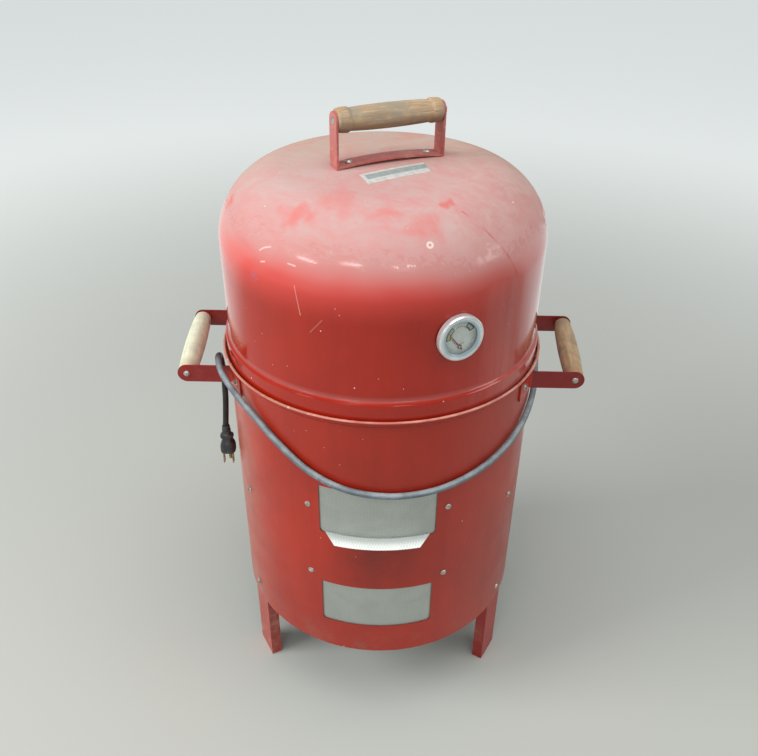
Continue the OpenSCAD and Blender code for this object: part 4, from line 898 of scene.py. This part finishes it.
def door_aluminium():
    """Sheet embossed with small diamonds: the larger of two crossed rows of ridges wound round the drum,
    with painted shade in its grooves and a painted highlight on the lip.
    """
    f = Finish("door_aluminium")
    place = f.place()
    x, y, z = f.split(place)
    turn = f.calc("ARCTAN2", x, f.times(y, -1.0))
    round_way = f.times(turn, DIAMOND_SLIM * DOOR_R)
    slants = [f.calc(way, round_way, z) for way in ("ADD", "SUBTRACT")]
    waves = [f.calc("SINE", f.times(slant, math.pi / DIAMOND_PITCH)) for slant in slants]
    diamonds = f.most(*(f.calc("ABSOLUTE", wave) for wave in waves))
    # Darker grooves between the diamonds, on panel and lip: painted shade in the creases
    shaded_grooves = f.step(diamonds, 0.95, 0.74)
    away = f.away(x, y)
    panel = f.step(away, *PANEL_R)
    film = f.noise(place, 26.0, 6.0, 0.65, 0.5)
    sheet = f.ramp(film, (0.3, (186, 192, 186)), (0.7, (198, 204, 199)))
    sheet = f.mix(f.times(shaded_grooves, 0.45), sheet, (108, 110, 104))
    # Lip lighter towards its outer edge: painted highlight
    reach = f.step(away, *LIP_HIGHLIGHT_R)
    lip = f.ramp(reach, (0.0, (182, 188, 184)), (0.45, (216, 221, 216)), (1.0, (242, 245, 240)))
    lip = f.mix(f.times(shaded_grooves, f.step(film, 0.35, 0.6, 0.1, 0.35)), lip, (166, 170, 164))
    f.set("Base Color", f.mix(panel, lip, sheet))
    f.set("Metallic", f.times(panel, 0.7))
    f.set("Roughness", f.step(film, 0.3, 0.7, 0.47, 0.42))
    f.bump(f.times(diamonds, f.calc("ADD", f.times(panel, 0.8), 0.2)), 0.0003, 0.6)
    return f.material


# Distances in metres from the gauge's centre between which the bezel's inner cone takes painted shade and
# the dial darkens with painted shade
BEZEL_SHADE_TURN, DIAL_SHADE_EDGE = (0.0242, 0.0228), (0.012, 0.022)


def bezel_aluminium():
    """Spun aluminium: rings round the gauge's axis, tarnished in patches, with painted shade on its inner
    cone.
    """
    f = Finish("bezel_aluminium", metallic=0.6)
    place = f.place()
    centre = on_dial(np.zeros((1, 3)))[0]
    away = f.vector("DISTANCE", place, tuple(centre))["Value"]
    rings = f.noise(f.join(away, 0.0, 0.0), 2600.0, 3.0)
    tarnish = f.noise(place, 90.0, 5.0, 0.6)
    rim = f.ramp(tarnish, (0.3, (210, 218, 220)), (0.7, (236, 241, 242)))
    # Inner cone tinted darker and bluish: painted shade of the recess
    f.set("Base Color", f.mix(f.step(away, *BEZEL_SHADE_TURN), rim, (184, 204, 214)))
    f.set("Roughness", f.step(rings, 0.3, 0.7, 0.24, 0.34))
    f.bump(rings, 0.0001, 0.15)
    return f.material


def dial_paint():
    """Pale grey-green dial, darker towards its edge with painted shade."""
    f = Finish("dial_paint", roughness=0.6)
    place = f.place()
    centre = on_dial(np.array([[0, 0, DIAL_OUT]]))[0]
    away = f.vector("DISTANCE", place, tuple(centre))["Value"]
    stain = f.noise(place, 120.0, 6.0, 0.65)
    face = f.ramp(stain, (0.3, (172, 182, 174)), (0.7, (198, 206, 200)))
    # Darker towards the dial's edge under the bezel: painted shade
    f.set("Base Color", f.mix(f.step(away, *DIAL_SHADE_EDGE, 0.0, 0.35), face, (128, 140, 134)))
    return f.material


def clear_glass():
    """Thin clear glass with a dusty film: see-through, and paler where the film is thick."""
    f = Finish("clear_glass", base_color=(1, 1, 1, 1), roughness=0.04)
    f.set("Alpha", f.step(f.noise(f.place(), 70.0, 6.0, 0.7), 0.35, 0.75, 0.03, 0.08))
    return f.material


# Each metal or enamel: name, light and dark tone, scale of tarnish, roughness, metallic, bump, and its nodes
METALS = [
    ("zinc_steel", (214, 212, 204), (136, 128, 112), 130.0, 0.32, 0.8, 0.0002,
     ["door_rivets", "leg_screws", "leg_nuts", "handle_screws", "handle_nuts", "grip_bolts", "grip_nuts",
      "cover_screws", "cover_nuts", "lid_handle_screws", "lid_handle_nuts", "lid_grip_bolt",
      "lid_grip_nut", "gauge_stem", "gauge_nut"]),
    ("bracket_steel", (168, 164, 154), (104, 92, 78), 60.0, 0.42, 0.7, 0.0003,
     ["door_guide_left", "door_guide_right", "grid_rests", "element_stands", "element_plate"]),
    ("grid_wire", (176, 168, 154), (70, 54, 42), 34.0, 0.34, 0.8, 0.0004, ["upper_grid", "lower_grid"]),
    ("black_enamel", (40, 38, 36), (20, 18, 17), 26.0, 0.3, 0.0, 0.0004, ["water_pan", "reflector_pan"]),
    ("element_sheath", (92, 84, 78), (48, 40, 36), 40.0, 0.5, 0.6, 0.0004, ["heating_element"]),
    ("ceramic", (226, 218, 200), (186, 172, 148), 80.0, 0.45, 0.0, 0.0003, ["terminal_block"]),
    ("cover_steel", (84, 84, 86), (56, 55, 55), 30.0, 0.42, 0.4, 0.0003, ["terminal_cover"]),
    ("blade_brass", (190, 170, 126), (126, 104, 70), 160.0, 0.34, 0.8, 0.0002, ["plug_blades"])]
for *values, nodes in METALS:
    dress(metal(*values), *nodes)
dress(door_aluminium(), "sliding_door")
dress(bezel_aluminium(), "gauge_case")
dress(dial_paint(), "gauge_dial")
dress(clear_glass(), "gauge_glass")
dress(ink("needle_paint", (128, 36, 34), (92, 22, 22)), "gauge_needle")


# Stage: plain pale floor, soft lamps on both sides and above, three far tubes in front and an even pale sky
FLOOR_HALF = 30.0
FLOOR_TONE, FLOOR_GLOW = (188, 190, 184), (0.92, 0.98, 1.0, 1.0)
FAR, FAR_GLOW = (0.7, 3.2), 0.52
BEHIND, BEHIND_GLOW = (0.2, 0.8), 0.6
SKY_TONE, SKY_LIGHT, SKY_SEEN = (0.97, 1.0, 1.0, 1.0), 0.36, 0.78
DRUM_MIDDLE, DRUM_UPPER, LID_FRONT = (0, 0, 0.45), (0, 0, 0.5), (0, -0.17, 0.74)
TUBE_SIZE, TUBE_POWER = (0.9, 0.16), 8
TUBES = {"left": (-3.0, -2.4, 2.13), "middle": (-1.32, -3.46, 2.58), "right": (0.96, -3.61, 2.53)}


def make_floor():
    """Floor that keeps the shadow near the object, and glows pale far away and in what mirrors it behind."""
    low, high = -FLOOR_HALF, FLOOR_HALF
    mesh = bpy.data.meshes.new("floor")
    mesh.from_pydata([(low, low, 0), (high, low, 0), (high, high, 0), (low, high, 0)], [], [(0, 1, 2, 3)])
    f = Finish("floor", base_color=tint(*FLOOR_TONE), roughness=0.8, emission_color=FLOOR_GLOW)
    light = f.put("ShaderNodeLightPath").outputs
    seen = f.most(light["Is Camera Ray"], light["Is Transmission Ray"])
    place = f.place()
    far = f.times(f.step(f.vector("LENGTH", place)["Value"], *FAR, 0.0, FAR_GLOW), seen)
    behind = f.times(f.step(f.split(place)[1], *BEHIND, 0.0, BEHIND_GLOW), light["Is Glossy Ray"])
    f.set("Emission Strength", f.most(far, behind))
    mesh.materials.append(f.material)
    floor = bpy.data.objects.new("floor", mesh)
    scene.collection.objects.link(floor)


def make_sky():
    """Even sky, paler to the camera than as light."""
    world = bpy.data.worlds.new("world")
    world.use_nodes = True
    tree = world.node_tree
    sky = tree.nodes["Background"]
    sky.inputs["Color"].default_value = SKY_TONE
    light = tree.nodes.new("ShaderNodeLightPath")
    level = tree.nodes.new("ShaderNodeMapRange")
    level.inputs["To Min"].default_value, level.inputs["To Max"].default_value = SKY_LIGHT, SKY_SEEN
    tree.links.new(light.outputs["Is Camera Ray"], level.inputs["Value"])
    tree.links.new(level.outputs["Result"], sky.inputs["Strength"])
    scene.world = world


def make_lamp(name, place, aim, size, power, mirrored=True):
    """Rectangular lamp facing an aim point, unseen by the camera and, unless mirrored, by reflections."""
    data = bpy.data.lights.new(name, "AREA")
    data.shape = "RECTANGLE"
    data.size, data.size_y = size
    data.energy = power
    lamp = bpy.data.objects.new(name, data)
    lamp.location = place
    lamp.rotation_euler = (Vector(aim) - Vector(place)).to_track_quat("-Z", "Y").to_euler()
    lamp.visible_camera = False
    lamp.visible_glossy = mirrored
    scene.collection.objects.link(lamp)


make_floor()
make_sky()
make_lamp("soft_lamp", (-2.6, -0.9, 2.1), DRUM_MIDDLE, (1.4, 1.2), 70, mirrored=False)
make_lamp("side_lamp", (2.7, -0.7, 1.7), DRUM_MIDDLE, (1.2, 1.2), 14)
make_lamp("top_lamp", (0.2, -0.7, 3.2), DRUM_UPPER, (2.6, 1.8), 39)
for side, place in TUBES.items():
    make_lamp(f"{side}_tube", place, LID_FRONT, TUBE_SIZE, TUBE_POWER)
